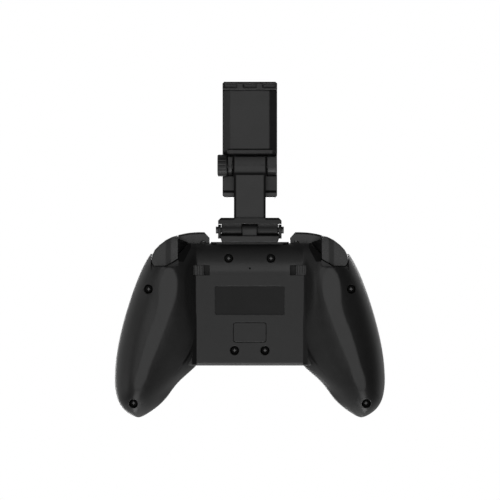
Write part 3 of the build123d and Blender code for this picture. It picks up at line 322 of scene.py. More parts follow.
PANEL_INSIDE, PANEL_EDGE, PANEL_TOP_Z = 0.0302, 0.0309, 0.0168
to_rear = span(shell, shell_facing["Z"], -0.72, -0.6, 1.0, 0.0)
across = span(shell, off_middle, PANEL_INSIDE, PANEL_EDGE, 1.0, 0.0)
under_top = span(shell, shell_place["Z"], PANEL_TOP_Z - 0.0006, PANEL_TOP_Z, 1.0, 0.0)
on_panel = in_all(shell, across, under_top, to_rear)

FLARE_START_Y, FLARE_FULL_Y = -0.036, -0.039
FLARE_LOW_Z, FLARE_HIGH_Z = 0.0086, 0.0102
WALL_LEAN = -1.6
flare = in_all(
    shell,
    span(shell, shell_place["Y"], FLARE_START_Y, FLARE_FULL_Y),
    span(shell, shell_place["Z"], FLARE_LOW_Z, FLARE_LOW_Z + 0.0003),
    span(shell, shell_place["Z"], FLARE_HIGH_Z, FLARE_HIGH_Z - 0.0008),
    maths(shell, "SUBTRACT", 1.0, across),
    to_rear,
)
wall_lean = maths(shell, "MULTIPLY", maths(shell, "SIGN", shell_place["X"]), WALL_LEAN)
turn_normals(shell_black, flare, towards(shell, x=wall_lean))

BEND_START_Y, BEND_LENGTH = -0.0146, 0.018
BEND_POWER, BEND_SLOPE = 2.2, 1.2
past_start = maths(shell, "MAXIMUM", maths(shell, "SUBTRACT", shell_place["Y"], BEND_START_Y), 0.0)
bend_share = maths(shell, "POWER", maths(shell, "DIVIDE", past_start, BEND_LENGTH), BEND_POWER)
bend = towards(shell, y=maths(shell, "MULTIPLY", bend_share, BEND_SLOPE))
started = span(shell, shell_place["Y"], BEND_START_Y, BEND_START_Y + 0.0006)
turn_normals(shell_black, in_all(shell, on_panel, started), bend)

HAND_POLISH, POLISH_END_Z = 0.12, 0.0045
BAND_LOW_Y, BAND_HIGH_Y = -0.0136, -0.0060
on_crest = span(shell, shell_place["Z"], CREST_HIGH_Z, POLISH_END_Z, HAND_POLISH, 0.0)
on_band = within(shell, shell_place["Y"], BAND_LOW_Y, BAND_HIGH_Y, 0.002)
rub_glossy(shell_black, in_any(shell, on_crest, in_all(shell, on_band, on_panel, HAND_POLISH)))

# Painted shade: the steep inner walls of the grips and a patch at the inner side of each lever mouth are
# painted black on the rear.
VALLEY_OUTSIDE, VALLEY_SHADE = 0.0385, 0.75
RECESS_INSIDE, RECESS_OUTSIDE = 0.0335, 0.0410
RECESS_LOW_Y, RECESS_HIGH_Y = -0.0072, 0.0050
RECESS_LINE, RECESS_SLANT = 0.0340, 0.5
REAR_TOP_Z = 0.0200
steep = span(shell, steepness, 0.5, 0.75)
in_valley = within(shell, off_middle, PANEL_INSIDE, VALLEY_OUTSIDE, 0.0020)
past_line = maths(shell, "SUBTRACT", off_middle, RECESS_LINE)
past_line = maths(shell, "MULTIPLY_ADD", shell_place["Y"], RECESS_SLANT, past_line)
lever_mouth_shade = in_all(
    shell,
    span(shell, past_line, 0.0, 0.0004),
    within(shell, off_middle, RECESS_INSIDE, RECESS_OUTSIDE, 0.0004),
    within(shell, shell_place["Y"], RECESS_LOW_Y, RECESS_HIGH_Y, 0.0004),
)
shade = in_any(shell, in_all(shell, steep, in_valley, VALLEY_SHADE), lever_mouth_shade)
at_rear = span(shell, shell_place["Z"], REAR_TOP_Z, REAR_TOP_Z - 0.0005)
paint_shade(shell_black, in_all(shell, shade, at_rear))

PARTING = 0.017
SEAM_HALF_WIDTH = 0.00022
add_seam(shell_black, PARTING, SEAM_HALF_WIDTH)
dress(shell_black, "rear_shell")


def block(bm, low, high):
    """Adds a rectangular block between two corners."""
    low, high = Vector(low), Vector(high)
    size = Matrix.Diagonal((*(high - low), 1.0))
    bmesh.ops.create_cube(bm, size=1.0, matrix=Matrix.Translation((low + high) / 2) @ size)


def round_off(bm, edges, offset, segments):
    """Rounds edges to a radius."""
    bmesh.ops.bevel(
        bm, geom=edges, affect="EDGES", offset=offset, segments=segments, profile=0.5, material=-1)


def piece(name, bm, body, material, slot, *stands_for, sharp=35):
    """Finishes a mesh as a piece that rides on a body."""
    bmesh.ops.recalc_face_normals(bm, faces=bm.faces)
    for face in bm.faces:
        face.smooth = True
    for line in bm.edges:
        line.smooth = line.calc_face_angle(0.0) < radians(sharp)
    mesh = bpy.data.meshes.new(name)
    bm.to_mesh(mesh)
    bm.free()
    mesh.materials.append(material)
    made = bpy.data.objects.new(name, mesh)
    bpy.context.scene.collection.objects.link(made)
    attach(made, body)
    if stands_for:
        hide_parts(*stands_for)
    return made


WEB_LOW, WEB_HIGH = Vector((0.0322, -0.0664, 0.0118)), Vector((0.0356, -0.0605, 0.026))
WEB_ROUNDING = 0.0005
webs = bmesh.new()
for side in (1, -1):
    near_x, far_x = sorted((side * WEB_LOW.x, side * WEB_HIGH.x))
    block(webs, (near_x, WEB_LOW.y, WEB_LOW.z), (far_x, WEB_HIGH.y, WEB_HIGH.z))
round_off(webs, list(webs.edges), WEB_ROUNDING, 3)
piece("arch_corner_webs", webs, "pad", shell_black, "shell")

# Front shell. The upper half, of the same grained ABS, with the raised deck that the controls come
# through. It meets the rear shell at a fine groove and takes the screws in its bosses.
dress(shell_black, "front_shell")

# Shell screws. Eight black zinc-plated pan heads with a cross recess, sunk in round wells in the rear
# shell and driven into the bosses of the front shell. The cross recess is a paler zinc, a painted
# highlight.
SCREW_SEATS = (
    (0.0121, -0.005125, 0.013),
    (0.0578, -0.022625, 0.0075),
    (0.0087, -0.057825, 0.013),
    (0.0664, -0.087825, 0.0085),
)
HEAD_HEIGHT = 0.0018
HEAD_FACE = 0.00195
HEAD_STEPS = (
    (0.0022, 0.0001), (0.00235, 0.0003), (0.00235, 0.0014),
    (0.0013, 0.0), (0.0013, 0.0118), (0.0008, 0.0007),
)
CROSS_REACH, CROSS_DEPTH = 0.0011, 0.0011
CROSS_HALF_ARM = 0.0003
CROSS_TAPER = 0.7
CLOUD_SIZE, LINE_SCALE, LINE_DEPTH = 1.2, 900.0, 0.00002
METAL_HANDLING = 0.12


def ring_between(bm, verts):
    """The edges that join some vertices."""
    chosen = set(verts)
    return [e for e in bm.edges if e.verts[0] in chosen and e.verts[1] in chosen]


def turned(bm, ring, centre, radius, steps):
    """Draws a ring of edges out through steps of radius and height, and returns the last ring."""
    for step_radius, rise in steps:
        made = bmesh.ops.extrude_edge_only(bm, edges=ring)["geom"]
        verts = [g for g in made if isinstance(g, bmesh.types.BMVert)]
        grow = step_radius / radius
        bmesh.ops.scale(bm, vec=(grow, grow, 1.0), verts=verts, space=Matrix.Translation(-centre))
        bmesh.ops.translate(bm, vec=(0, 0, rise), verts=verts)
        ring = ring_between(bm, verts)
        radius = step_radius
    return ring


def extruded(bm, faces):
    """Draws faces out from where they lie, and returns the new vertices, to be moved."""
    made = bmesh.ops.extrude_face_region(bm, geom=faces)["geom"]
    return [g for g in made if isinstance(g, bmesh.types.BMVert)]


def crossed_arms(bm, centre):
    """The five flat faces of a cross, made from a grid of nine."""
    grid = bmesh.ops.create_grid(
        bm, x_segments=3, y_segments=3, size=CROSS_REACH, matrix=Matrix.Translation(centre))
    for vert in grid["verts"]:
        for axis in (0, 1):
            off = vert.co[axis] - centre[axis]
            if abs(off) < CROSS_REACH - CROSS_HALF_ARM:
                vert.co[axis] = centre[axis] + (CROSS_HALF_ARM if off > 0 else -CROSS_HALF_ARM)
    squares = list({face for vert in grid["verts"] for face in vert.link_faces})
    middles = {face: face.calc_center_median() - centre for face in squares}
    corners = [f for f in squares if min(abs(middles[f].x), abs(middles[f].y)) > CROSS_HALF_ARM]
    arms = [f for f in squares if f not in corners]
    bmesh.ops.delete(bm, geom=corners, context="FACES")
    return arms


screws = bmesh.new()
for side in (-1, 1):
    for seat_x, seat_y, seat_z in SCREW_SEATS:
        centre = Vector((side * seat_x, seat_y, seat_z - HEAD_HEIGHT))
        place = Matrix.Translation(centre)
        arms = crossed_arms(screws, centre)
        rim = [e for e in {e for f in arms for e in f.edges} if len(e.link_faces) == 1]
        recess = extruded(screws, arms)
        bmesh.ops.delete(screws, geom=arms, context="FACES_ONLY")
        taper = (CROSS_TAPER, CROSS_TAPER, 1.0)
        bmesh.ops.scale(screws, vec=taper, verts=recess, space=Matrix.Translation(-centre))
        bmesh.ops.translate(screws, vec=(0, 0, CROSS_DEPTH), verts=recess)
        outline = bmesh.ops.create_circle(screws, segments=24, radius=HEAD_FACE, matrix=place)["verts"]
        ring = ring_between(screws, outline)
        bmesh.ops.triangle_fill(screws, use_beauty=True, edges=rim + ring)
        end = turned(screws, ring, centre, HEAD_FACE, HEAD_STEPS)
        bmesh.ops.edgeloop_fill(screws, edges=end)
        for face in {f for vert in recess for f in vert.link_faces}:
            face.material_index = 1


def metal(name, dark, pale, roughness, lines=(1.0, 1.0, 1.0)):
    """A plated or drawn metal: fine lines or cloudy plating in its colour, gloss and surface."""
    material, tree, shader, position = new_material(name)
    surface = group_node(
        tree, grain_group,
        Position=position, Grain_Size=CLOUD_SIZE, Roughness=roughness, Handling=METAL_HANDLING,
    )
    drawn = noise(tree, position, LINE_SCALE, 3.0, lines)
    tree.links.new(blend_colours(tree, drawn, dark, pale), shader.inputs["Base Color"])
    tree.links.new(surface.outputs["Roughness"], shader.inputs["Roughness"])
    shader.inputs["Metallic"].default_value = 1.0
    bump = tree.nodes.new("ShaderNodeBump")
    bump.inputs["Strength"].default_value = 0.4
    bump.inputs["Distance"].default_value = LINE_DEPTH
    tree.links.new(drawn, bump.inputs["Height"])
    tree.links.new(bump.outputs[0], shader.inputs["Normal"])
    return material


black_zinc = metal("black_zinc", grey(0.006), grey(0.014), 0.45)
heads = piece("cross_head_screws", screws, "pad", black_zinc, "dark_steel", "shell_screws")
# The paler zinc in the cross recess is a painted highlight.
heads.data.materials.append(metal("painted_highlight_zinc", grey(0.07), grey(0.16), 0.33))

# Blank label film. The rear panel has a shallow oblong recess for a rating label. It holds a plain
# satin black film with nothing printed on it, stuck flat on the floor of the recess.
LABEL_LOW, LABEL_HIGH = (-0.0196, -0.03705, 0.00938), (0.0196, -0.0212, 0.0095)
LABEL_CORNER = 0.0007
film = bmesh.new()
block(film, LABEL_LOW, LABEL_HIGH)
uprights = [e for e in film.edges if abs(e.verts[0].co.z - e.verts[1].co.z) > 0.00005]
round_off(film, uprights, LABEL_CORNER, 4)
film_black = moulded(
    "film_black", grey(0.008), grey(0.012), grey(0.02), 0.4,
    grain=0.9, depth=0.000012, soft=0.00005, specular=0.25,
)
piece("blank_label_film", film, "pad", film_black, "shell")

# Bay cover. A small flush lid of the same black ABS in the rear panel, snapped into its frame with a
# thin gap all round.
dress(shell_black, "bay_cover")

# Top insert. A smoother black plate between the bumpers, let into the top edge of the housing, with
# the charging port's mouth and the two slots that hold the clip's tongues.
insert_black = moulded(
    "insert_black", grey(0.018), grey(0.025), grey(0.07), 0.36, grain=0.7, depth=0.00002)
dress(insert_black, "top_insert")

# Charging port. A drawn stainless sleeve round a dark tongue with two rows of gilt contacts, soldered
# to the edge of the main board.
DRAWN_ALONG_Y = (1.0, 0.05, 1.0)
port_steel = metal("port_steel", grey(0.42), grey(0.6), 0.28, lines=DRAWN_ALONG_Y)
dress(port_steel, "usb_port")
CONTACTS_A_ROW, CONTACT_PITCH = 6, 0.0009
CONTACT_SIZE = Vector((0.0004, 0.0018, 0.00006))
CONTACT_SETBACK, ROW_OFFSET = 0.0022, 0.00037
port_low, port_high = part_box("usb_port")
port_middle_z = (port_low.z + port_high.z) / 2
contacts = bmesh.new()
for row in (-1, 1):
    for number in range(CONTACTS_A_ROW):
        x = (number - (CONTACTS_A_ROW - 1) / 2) * CONTACT_PITCH
        middle = Vector((x, port_high.y - CONTACT_SETBACK, port_middle_z + row * ROW_OFFSET))
        block(contacts, middle - CONTACT_SIZE / 2, middle + CONTACT_SIZE / 2)
gilt = metal("gilt", grey(0.8, (1.0, 0.72, 0.3)), grey(0.95, (1.0, 0.78, 0.4)), 0.25)
piece("port_contacts", contacts, "pad", gilt, "steel")

# Main board. Green solder mask over copper tracks on glass-fibre board, inside the shells on the
# bosses. It carries the port, the thumbstick modules and the rubber membranes.
TRACK_SCALE, TRACK_DEPTH, MASK_CLOUD_SCALE = 420.0, 0.00004, 300.0
mask_green, track_green = grey(0.05, (0.3, 1.0, 0.4)), grey(0.09, (0.5, 1.0, 0.45))
board_green, board, board_shader, board_position = new_material("board_green")
tracks = board.nodes.new("ShaderNodeTexVoronoi")
tracks.distance = "CHEBYCHEV"
tracks.feature = "DISTANCE_TO_EDGE"
tracks.inputs["Scale"].default_value = TRACK_SCALE
board.links.new(board_position, tracks.inputs["Vector"])
off_track = span(board, tracks.outputs["Distance"], 0.04, 0.08)
mask_clouds = noise(board, board_position, MASK_CLOUD_SCALE, 3.0)
board_gloss = span(board, mask_clouds, 0.0, 1.0, 0.3, 0.5)
board_bump = board.nodes.new("ShaderNodeBump")
board_bump.inputs["Distance"].default_value = TRACK_DEPTH
board.links.new(blend_colours(board, off_track, track_green, mask_green), board_shader.inputs["Base Color"])
board.links.new(board_gloss, board_shader.inputs["Roughness"])
board.links.new(off_track, board_bump.inputs["Height"])
board.links.new(board_bump.outputs[0], board_shader.inputs["Normal"])
dress(board_green, "main_board")

# Battery pack. A flat lithium cell in a dull plain foil sleeve, taped down between the board and the
# rear panel.
cell_foil = moulded(
    "cell_foil", grey(0.25, (0.8, 0.9, 1.0)), grey(0.34, (0.85, 0.93, 1.0)), grey(0.5), 0.35,
    grain=2.4, depth=0.00006,
)
dress(cell_foil, "battery_pack")

# Rumble motors. Drawn steel cans in the cradles of each grip, with a half-round sintered weight on
# each shaft that shakes the grip as it spins.
motor_can = metal("motor_can", grey(0.38), grey(0.52), 0.33, lines=DRAWN_ALONG_Y)
weight_metal = metal("weight_metal", grey(0.24), grey(0.36), 0.48)
dress(motor_can, "left_rumble_motor", "right_rumble_motor")
dress(weight_metal, "left_motor_weight", "right_motor_weight")

# Stop switches. Ribbed black knobs that slide in slots of the rear panel and shorten the travel of
# the triggers. Their ribs are rubbed smooth by the thumb, and between the ribs the knob is painted
# darker toward its foot, a painted shade.
RIB_TOP_Z, RIB_FOOT_Z = 0.00885, 0.009
RIB_SHADE = 0.6
switch_black = moulded(
    "switch_black", grey(0.026), grey(0.036), grey(0.11), 0.4, grain=0.3, soft=0.00012)
switch = switch_black.node_tree
# Painted shade: below the tops of the ribs the knob is painted darker toward its foot.
paint_shade(switch_black, span(switch, place_on(switch)["Z"], RIB_TOP_Z, RIB_FOOT_Z, 0.0, RIB_SHADE))
dress(switch_black, "left_stop_switch", "right_stop_switch")

# Triggers. Levers of satin black plastic on steel pins, which swing into the housing when they are
# pulled. Their outer corner follows the curve of the housing, a band down the middle of the finger face
# is painted darker as painted shade, and a flank runs from it toward the middle of the pad, painted
# black as painted shade.
LEVER_INNER, LEVER_OUTER = 0.041, 0.056
LEVER_SIDE = (
    (-0.00928, 0.0034), (-0.0044, 0.00335), (0.0004, 0.0036), (0.0032, 0.0049), (0.0056, 0.0073),
    (0.0073, 0.0106), (0.00815, 0.0146), (0.00825, 0.019), (0.0079, 0.023), (0.0072, 0.0268),
    (-0.00177, 0.0255), (-0.00177, 0.016), (-0.00928, 0.0072),
)
LEVER_CORNER = (
    (0.0405, 0.00845), (0.0445, 0.0072), (0.0483, 0.0052), (0.0516, 0.0026), (0.0543, -0.0003),
    (0.0556, -0.003), (0.056, -0.006),
)
LEVER_LOWER_CUTS = (((0.056, -0.0077), (0.0546, -0.00928)), ((0.0479, -0.00928), (0.041, -0.00528)))
RIM_RADIUS, EDGE_RADIUS = 0.0018, 0.0004
RIM_START_X, RIM_START_Y = 0.0482, -0.0091
RIM_TOP_Z, EDGE_TOP_Z = 0.0262, 0.025
FLANK = ((0.0416, 0.0064), (0.036, 0.0042), (0.0359, 0.0029), (0.0408, -0.0018), (0.0416, -0.0022))
FLANK_TOP_Z, FLANK_FOOT_Z, FLANK_SLOPE = 0.0252, 0.005, 3.3
FLANK_EDGE = 0.0413
SHADED_BAND_INNER, SHADED_BAND_OUTER, BAND_SHADE = 0.0442, 0.0488, 0.46


def variant(material, name):
    """A copy of a material for one piece, with its tree and where and how the surface lies."""
    made = material.copy()
    made.name = name
    return made, made.node_tree, place_on(made.node_tree), facing_of(made.node_tree)


def plate(bm, corners):
    """A flat face through some corners."""
    return bm.faces.new([bm.verts.new(corner) for corner in corners])


def sharp_edges(bm, angle):
    """The edges that turn by more than an angle in degrees."""
    return [e for e in bm.edges if e.calc_face_angle(0.0) > radians(angle)]


satin_black = moulded(
    "satin_black", grey(0.02), grey(0.028), grey(0.08), 0.27,
    grain=0.6, depth=0.00002, handling=0.3, soft=0.0006,
)
lever_black, satin, lever_place, lever_facing = variant(satin_black, "lever_black")
lever_rear = span(satin, lever_facing["Z"], -0.2, -0.35)
turn_normals(lever_black, lever_rear, (0.0, -0.08, -1.0))
lever_off_middle = maths(satin, "ABSOLUTE", lever_place["X"])
# Painted shade: a band down the finger face, and the whole flank, are painted dark.
shaded_band = within(satin, lever_off_middle, SHADED_BAND_INNER, SHADED_BAND_OUTER, 0.0012)
flank_shade = span(satin, lever_off_middle, FLANK_EDGE, FLANK_EDGE - 0.0004)
paint_shade(lever_black, in_any(satin, in_all(satin, shaded_band, lever_rear, BAND_SHADE), flank_shade))

for side, sign in (("right", 1), ("left", -1)):
    lever = bmesh.new()
    far = extruded(lever, [plate(lever, [(LEVER_INNER, y, z) for y, z in LEVER_SIDE])])
    bmesh.ops.translate(lever, vec=(LEVER_OUTER - LEVER_INNER, 0, 0), verts=far)
    bmesh.ops.recalc_face_normals(lever, faces=lever.faces)
    for (x, y), (next_x, next_y) in [*zip(LEVER_CORNER, LEVER_CORNER[1:]), *LEVER_LOWER_CUTS]:
        away = Vector((y - next_y, next_x - x, 0.0))
        whole = [*lever.verts, *lever.edges, *lever.faces]
        cut = bmesh.ops.bisect_plane(
            lever, geom=whole, dist=1e-7, plane_co=(x, y, 0), plane_no=away, clear_outer=True)
        opened = [g for g in cut["geom_cut"] if isinstance(g, bmesh.types.BMEdge)]
        bmesh.ops.edgenet_fill(lever, edges=opened)
    bmesh.ops.recalc_face_normals(lever, faces=lever.faces)
    rim = [
        e for e in sharp_edges(lever, 38)
        if min(v.co.z for v in e.verts) < RIM_TOP_Z
        and min(v.co.x for v in e.verts) > RIM_START_X
        and min(v.co.y for v in e.verts) > RIM_START_Y
    ]
    round_off(lever, rim, RIM_RADIUS, 6)
    rest = [e for e in sharp_edges(lever, 50) if max(v.co.z for v in e.verts) < EDGE_TOP_Z]
    round_off(lever, rest, EDGE_RADIUS, 3)
    for vert in extruded(lever, [plate(lever, [(x, y, FLANK_TOP_Z) for x, y in FLANK])]):
        vert.co.z = FLANK_FOOT_Z + FLANK_SLOPE * max(LEVER_INNER - vert.co.x, 0.0)
    bmesh.ops.scale(lever, vec=(sign, 1, 1), verts=lever.verts)
    piece(side + "_trigger_lever", lever, side + "_trigger", lever_black, "shell", side + "_trigger")

# Trigger mouths. Thin lips of the rear shell's black ABS that come up to the levers, one at the inner
# lower corner of each mouth and one at the outer, so that only a fine seam stays open.
INNER_LIP = (
    (0.0402, -0.0099), (0.0478, -0.0099), (0.0474, -0.00972), (0.04085, -0.00588), (0.0402, -0.0062),
)
INNER_LIP_Z, INNER_LIP_TOP_Z, INNER_LIP_FALL = 0.0019, 0.0027, 0.2
OUTER_LIP = (
    (0.05635, -0.0056, 0.0095), (0.05635, -0.0079, 0.0073), (0.0549, -0.00968, 0.0038),
    (0.0534, -0.00968, 0.0027), (0.0569, -0.0121, 0.0046), (0.0574, -0.0060, 0.0097),
)
OUTER_LIP_THICKNESS = 0.0006
lips = bmesh.new()
for side in (1, -1):
    lowest_x = INNER_LIP[0][0]
    inner = [(side * x, y, INNER_LIP_Z - INNER_LIP_FALL * (x - lowest_x)) for x, y in INNER_LIP]
    for vert in extruded(lips, [plate(lips, inner)]):
        vert.co.z = INNER_LIP_TOP_Z
    outer = extruded(lips, [plate(lips, [(side * x, y, z) for x, y, z in OUTER_LIP])])
    bmesh.ops.translate(lips, vec=(0, 0, OUTER_LIP_THICKNESS), verts=outer)
piece("trigger_mouth_lips", lips, "pad", shell_black, "shell")

# Trigger pins. The inner ends of the steel pins that the levers turn on, with a small chamfer, pressed
# into the housing.
PIN_RADIUS, PIN_CHAMFER, PIN_LENGTH = 0.0015, 0.0003, 0.0014
PIN_START_X = 0.039
DRAWN_ALONG_X = (0.05, 1.0, 1.0)


def turned_part(bm, segments, radius, steps, place):
    """A round part turned through steps of radius and height, closed at both ends and put in place."""
    before = set(bm.verts)
    circle = bmesh.ops.create_circle(bm, segments=segments, radius=radius)["verts"]
    ring = ring_between(bm, circle)
    end = turned(bm, ring, Vector((0, 0, 0)), radius, steps)
    bmesh.ops.edgeloop_fill(bm, edges=ring)
    bmesh.ops.edgeloop_fill(bm, edges=end)
    bmesh.ops.transform(bm, matrix=place, verts=[v for v in bm.verts if v not in before])


pin_steel = metal("pin_steel", grey(0.45), grey(0.62), 0.27, lines=DRAWN_ALONG_X)
pin_low, pin_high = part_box("trigger_pins")
pin_middle = (pin_low + pin_high) / 2
PIN_STEPS = (
    (PIN_RADIUS, PIN_CHAMFER), (PIN_RADIUS, PIN_LENGTH), (PIN_RADIUS - PIN_CHAMFER, PIN_CHAMFER))
lever_pins = bmesh.new()
for side in (-1, 1):
    start = Matrix.Translation((side * PIN_START_X, pin_middle.y, pin_middle.z))
    outward = Matrix.Rotation(side * pi / 2, 4, "Y")
    turned_part(lever_pins, 24, PIN_RADIUS - PIN_CHAMFER, PIN_STEPS, start @ outward)
piece("trigger_pin_ends", lever_pins, "pad", pin_steel, "steel", "trigger_pins")

# Bumpers. Curved bars of the same satin black plastic over the triggers, each on an upright pin near
# the middle of the pad. The pins are of black nylon, whose edges are painted darker as painted shade.
# This black nylon's edge tone is darker than its body: a painted shade along the edges.
clip_black = moulded(
    "clip_black", grey(0.022), grey(0.03), grey(0.008), 0.38, grain=0.8, depth=0.000025, soft=0.0011)
dress(satin_black, "left_bumper", "right_bumper")
dress(clip_black, "bumper_pins")

# Thumbsticks. Each is a steel-cased module with a nylon carriage and rocker under a rubber-covered
# stick. The cap has a shallow dish and a knurled rim, and the skirt hides the opening.
nylon = moulded("nylon", grey(0.52), grey(0.62), grey(0.7), 0.42, grain=1.5, depth=0.00002)
module_case = metal("module_case", grey(0.4), grey(0.55), 0.36)
stick_rubber = moulded(
    "stick_rubber", grey(0.016), grey(0.023), grey(0.045), 0.62, grain=0.35, depth=0.00006, soft=0.0002)
KNURLS = 60
KNURL_RADIUS, KNURL_FOOT_RADIUS, KNURL_HOLLOW = 0.01018, 0.0097, 0.986
KNURL_HEIGHT, KNURL_SLOPE, RIM_DROP = 0.0011, 0.0003, 0.0024
for side in ("left", "right"):
    dress(module_case, side + "_stick_base")
    dress(nylon, side + "_stick_carriage", side + "_stick_rocker")
    dress(stick_rubber, side + "_thumbstick")
    stick_low, stick_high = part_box(side + "_thumbstick")
    stick_middle = (stick_low + stick_high) / 2
    rim_centre = Vector((stick_middle.x, stick_middle.y, stick_high.z - RIM_DROP))
    knurl = bmesh.new()
    teeth = bmesh.ops.create_circle(
        knurl, segments=2 * KNURLS, radius=KNURL_RADIUS, matrix=Matrix.Translation(rim_centre))["verts"]
    shrink = (KNURL_HOLLOW, KNURL_HOLLOW, 1.0)
    bmesh.ops.scale(knurl, vec=shrink, verts=teeth[::2], space=Matrix.Translation(-rim_centre))
    rim = ring_between(knurl, teeth)
    upward = ((KNURL_RADIUS, KNURL_HEIGHT), (KNURL_FOOT_RADIUS, KNURL_SLOPE))
    band = turned(knurl, rim, rim_centre, KNURL_RADIUS, upward)
    rim = ring_between(knurl, teeth)
    foot = turned(knurl, rim, rim_centre, KNURL_RADIUS, ((KNURL_FOOT_RADIUS, -KNURL_SLOPE),))
    bmesh.ops.bridge_loops(knurl, edges=band + foot)
    piece(side + "_stick_knurl", knurl, side + "_thumbstick", stick_rubber, "rubber", sharp=20)

# Direction pad. A one-piece cross with a dished middle that rocks on a small plate over the rubber
# membrane. It is moulded in satin black with bevelled ends.
key_black = moulded(
    "key_black", grey(0.02), grey(0.028), grey(0.09), 0.3,
    grain=0.8, depth=0.000015, handling=0.3, soft=0.0003,
)
dress(key_black, "direction_pad")
dress(nylon, "direction_plate")

# Push buttons. Crowned caps of the same satin black, held by a flange under the deck. The membranes
# beneath them are grey silicone with a dome for each contact.
silicone_grey = moulded("silicone_grey", grey(0.2), grey(0.27), grey(0.3), 0.55, grain=0.5)
for key in ("east", "north", "west", "south", "select", "start", "home"):
    dress(key_black, key + "_button")
dress(silicone_grey, "cluster_membrane", "direction_membrane")

# Light guide. A frosted clear strip in the deck that carries the status lights up from the board, so
# that they show as one soft line.
frosted = moulded("frosted", grey(0.55), grey(0.7), grey(0.8), 0.4, grain=0.5, soft=0.0001)
dress(frosted, "light_guide")

# Clip base. A block of black nylon against the top insert, held by two tongues. Its middle knuckle
# and cheeks carry the oxide-blacked fold pin, thin washers fill the running gaps beside the knuckles,
# and a ledge closes the back of the hinge.
black_oxide = metal("black_oxide", grey(0.05), grey(0.09), 0.3, lines=DRAWN_ALONG_X)
dress(clip_black, "clip_base")
dress(black_oxide, "hinge_pin", "tilt_bolt")
FOLD_Y, FOLD_Z = 0.011175, 0.015
WASHERS_X = (-0.01615, -0.004425, 0.004425, 0.01615)
WASHER_RADIUS, WASHER_FACE = 0.00305, 0.0029
WASHER_CHAMFER, WASHER_WIDTH = 0.00003, 0.00023
WASHER_STEPS = (
    (WASHER_RADIUS, WASHER_CHAMFER),
    (WASHER_RADIUS, WASHER_WIDTH - 2 * WASHER_CHAMFER),
    (WASHER_FACE, WASHER_CHAMFER),
)
washers = bmesh.new()
for x in WASHERS_X:
    centred = Matrix.Translation((0, 0, -WASHER_WIDTH / 2))
    on_pin = Matrix.Translation((x, FOLD_Y, FOLD_Z)) @ Matrix.Rotation(pi / 2, 4, "Y")
    turned_part(washers, 40, WASHER_FACE, WASHER_STEPS, on_pin @ centred)
piece("knuckle_faces", washers, "pad", clip_black, "shell")
LEDGE_LOW, LEDGE_HIGH = (-0.0168, 0.0076, 0.0186), (0.0168, 0.0092, 0.0205)
LEDGE_ROUNDING = 0.0003
ledge = bmesh.new()
block(ledge, LEDGE_LOW, LEDGE_HIGH)
round_off(ledge, list(ledge.edges), LEDGE_ROUNDING, 3)
piece("hinge_ledge", ledge, "pad", clip_black, "shell")

# Clip arm. A flat blade of the same black nylon between the fold pin and the tilt bolt, with a wide
# foot plate, a lip over the middle knuckle, and a barrel at its end. Its edges, the foot plate and the
# foot and ends of the barrel are painted dark, a painted shade.
BARREL_Y, BARREL_RADIUS, BARREL_LEAN = 0.0483, 0.0056, 0.15
BARREL_FOOT = BARREL_Y - BARREL_RADIUS
BARREL_END, BLADE_EDGE, BLADE_SIDE, PLATE_START = 0.0085, 0.0072, 0.0084, 0.0086
PLATE_TOP_Y, PLATE_SHADE = 0.0178, 0.45
arm_black, arm, arm_place, arm_facing = variant(clip_black, "arm_black")
arm_off_middle = maths(arm, "ABSOLUTE", arm_place["X"])
off_axis = maths(arm, "DIVIDE", maths(arm, "SUBTRACT", arm_place["Y"], BARREL_Y), BARREL_RADIUS)
on_barrel = in_all(
    arm,
    span(arm, arm_place["Y"], BARREL_FOOT - 0.0001, BARREL_FOOT),
    span(arm, arm_facing["Z"], -0.3, -0.4),
)
turn_normals(arm_black, on_barrel, towards(arm, y=maths(arm, "MULTIPLY", off_axis, BARREL_LEAN)))
# Painted shade: the barrel's foot and ends, the blade's edges and the foot plate are painted black.
barrel_foot = in_all(
    arm,
    span(arm, arm_place["Y"], BARREL_FOOT + 0.0030, BARREL_FOOT + 0.0006),
    span(arm, arm_place["Y"], BARREL_FOOT - 0.0003, BARREL_FOOT + 0.0001),
)
barrel_end = in_all(
    arm,
    span(arm, arm_off_middle, BARREL_END, BARREL_END + 0.0005),
    span(arm, arm_place["Y"], BARREL_FOOT, BARREL_FOOT + 0.0004),
)
blade_edge = in_all(
    arm,
    span(arm, arm_off_middle, BLADE_EDGE, BLADE_SIDE),
    within(arm, arm_place["Y"], PLATE_TOP_Y, BARREL_FOOT, 0.0002),
)
plate_edge = in_all(
    arm,
    span(arm, arm_off_middle, PLATE_START, PLATE_START + 0.0004),
    span(arm, arm_place["Y"], PLATE_TOP_Y - 0.0012, PLATE_TOP_Y - 0.0006),
)
plate_shade = span(arm, arm_place["Y"], PLATE_TOP_Y + 0.0004, PLATE_TOP_Y, 0.0, PLATE_SHADE)
arm_rear = span(arm, arm_facing["Z"], -0.9, -0.98)
rear_shade = in_all(arm, in_any(arm, barrel_foot, plate_shade, blade_edge, plate_edge), arm_rear)
paint_shade(arm_black, in_any(arm, rear_shade, barrel_end))
dress(arm_black, "clip_arm")
ARM_LIP_LOW, ARM_LIP_HIGH = (-0.0048, 0.0137, 0.0174), (0.0048, 0.0151, 0.0182)
ARM_LIP_ROUNDING = 0.00015
lip = bmesh.new()
block(lip, ARM_LIP_LOW, ARM_LIP_HIGH)
round_off(lip, list(lip.edges), ARM_LIP_ROUNDING, 2)
piece("arm_lip", lip, "clip_arm", clip_black, "shell")

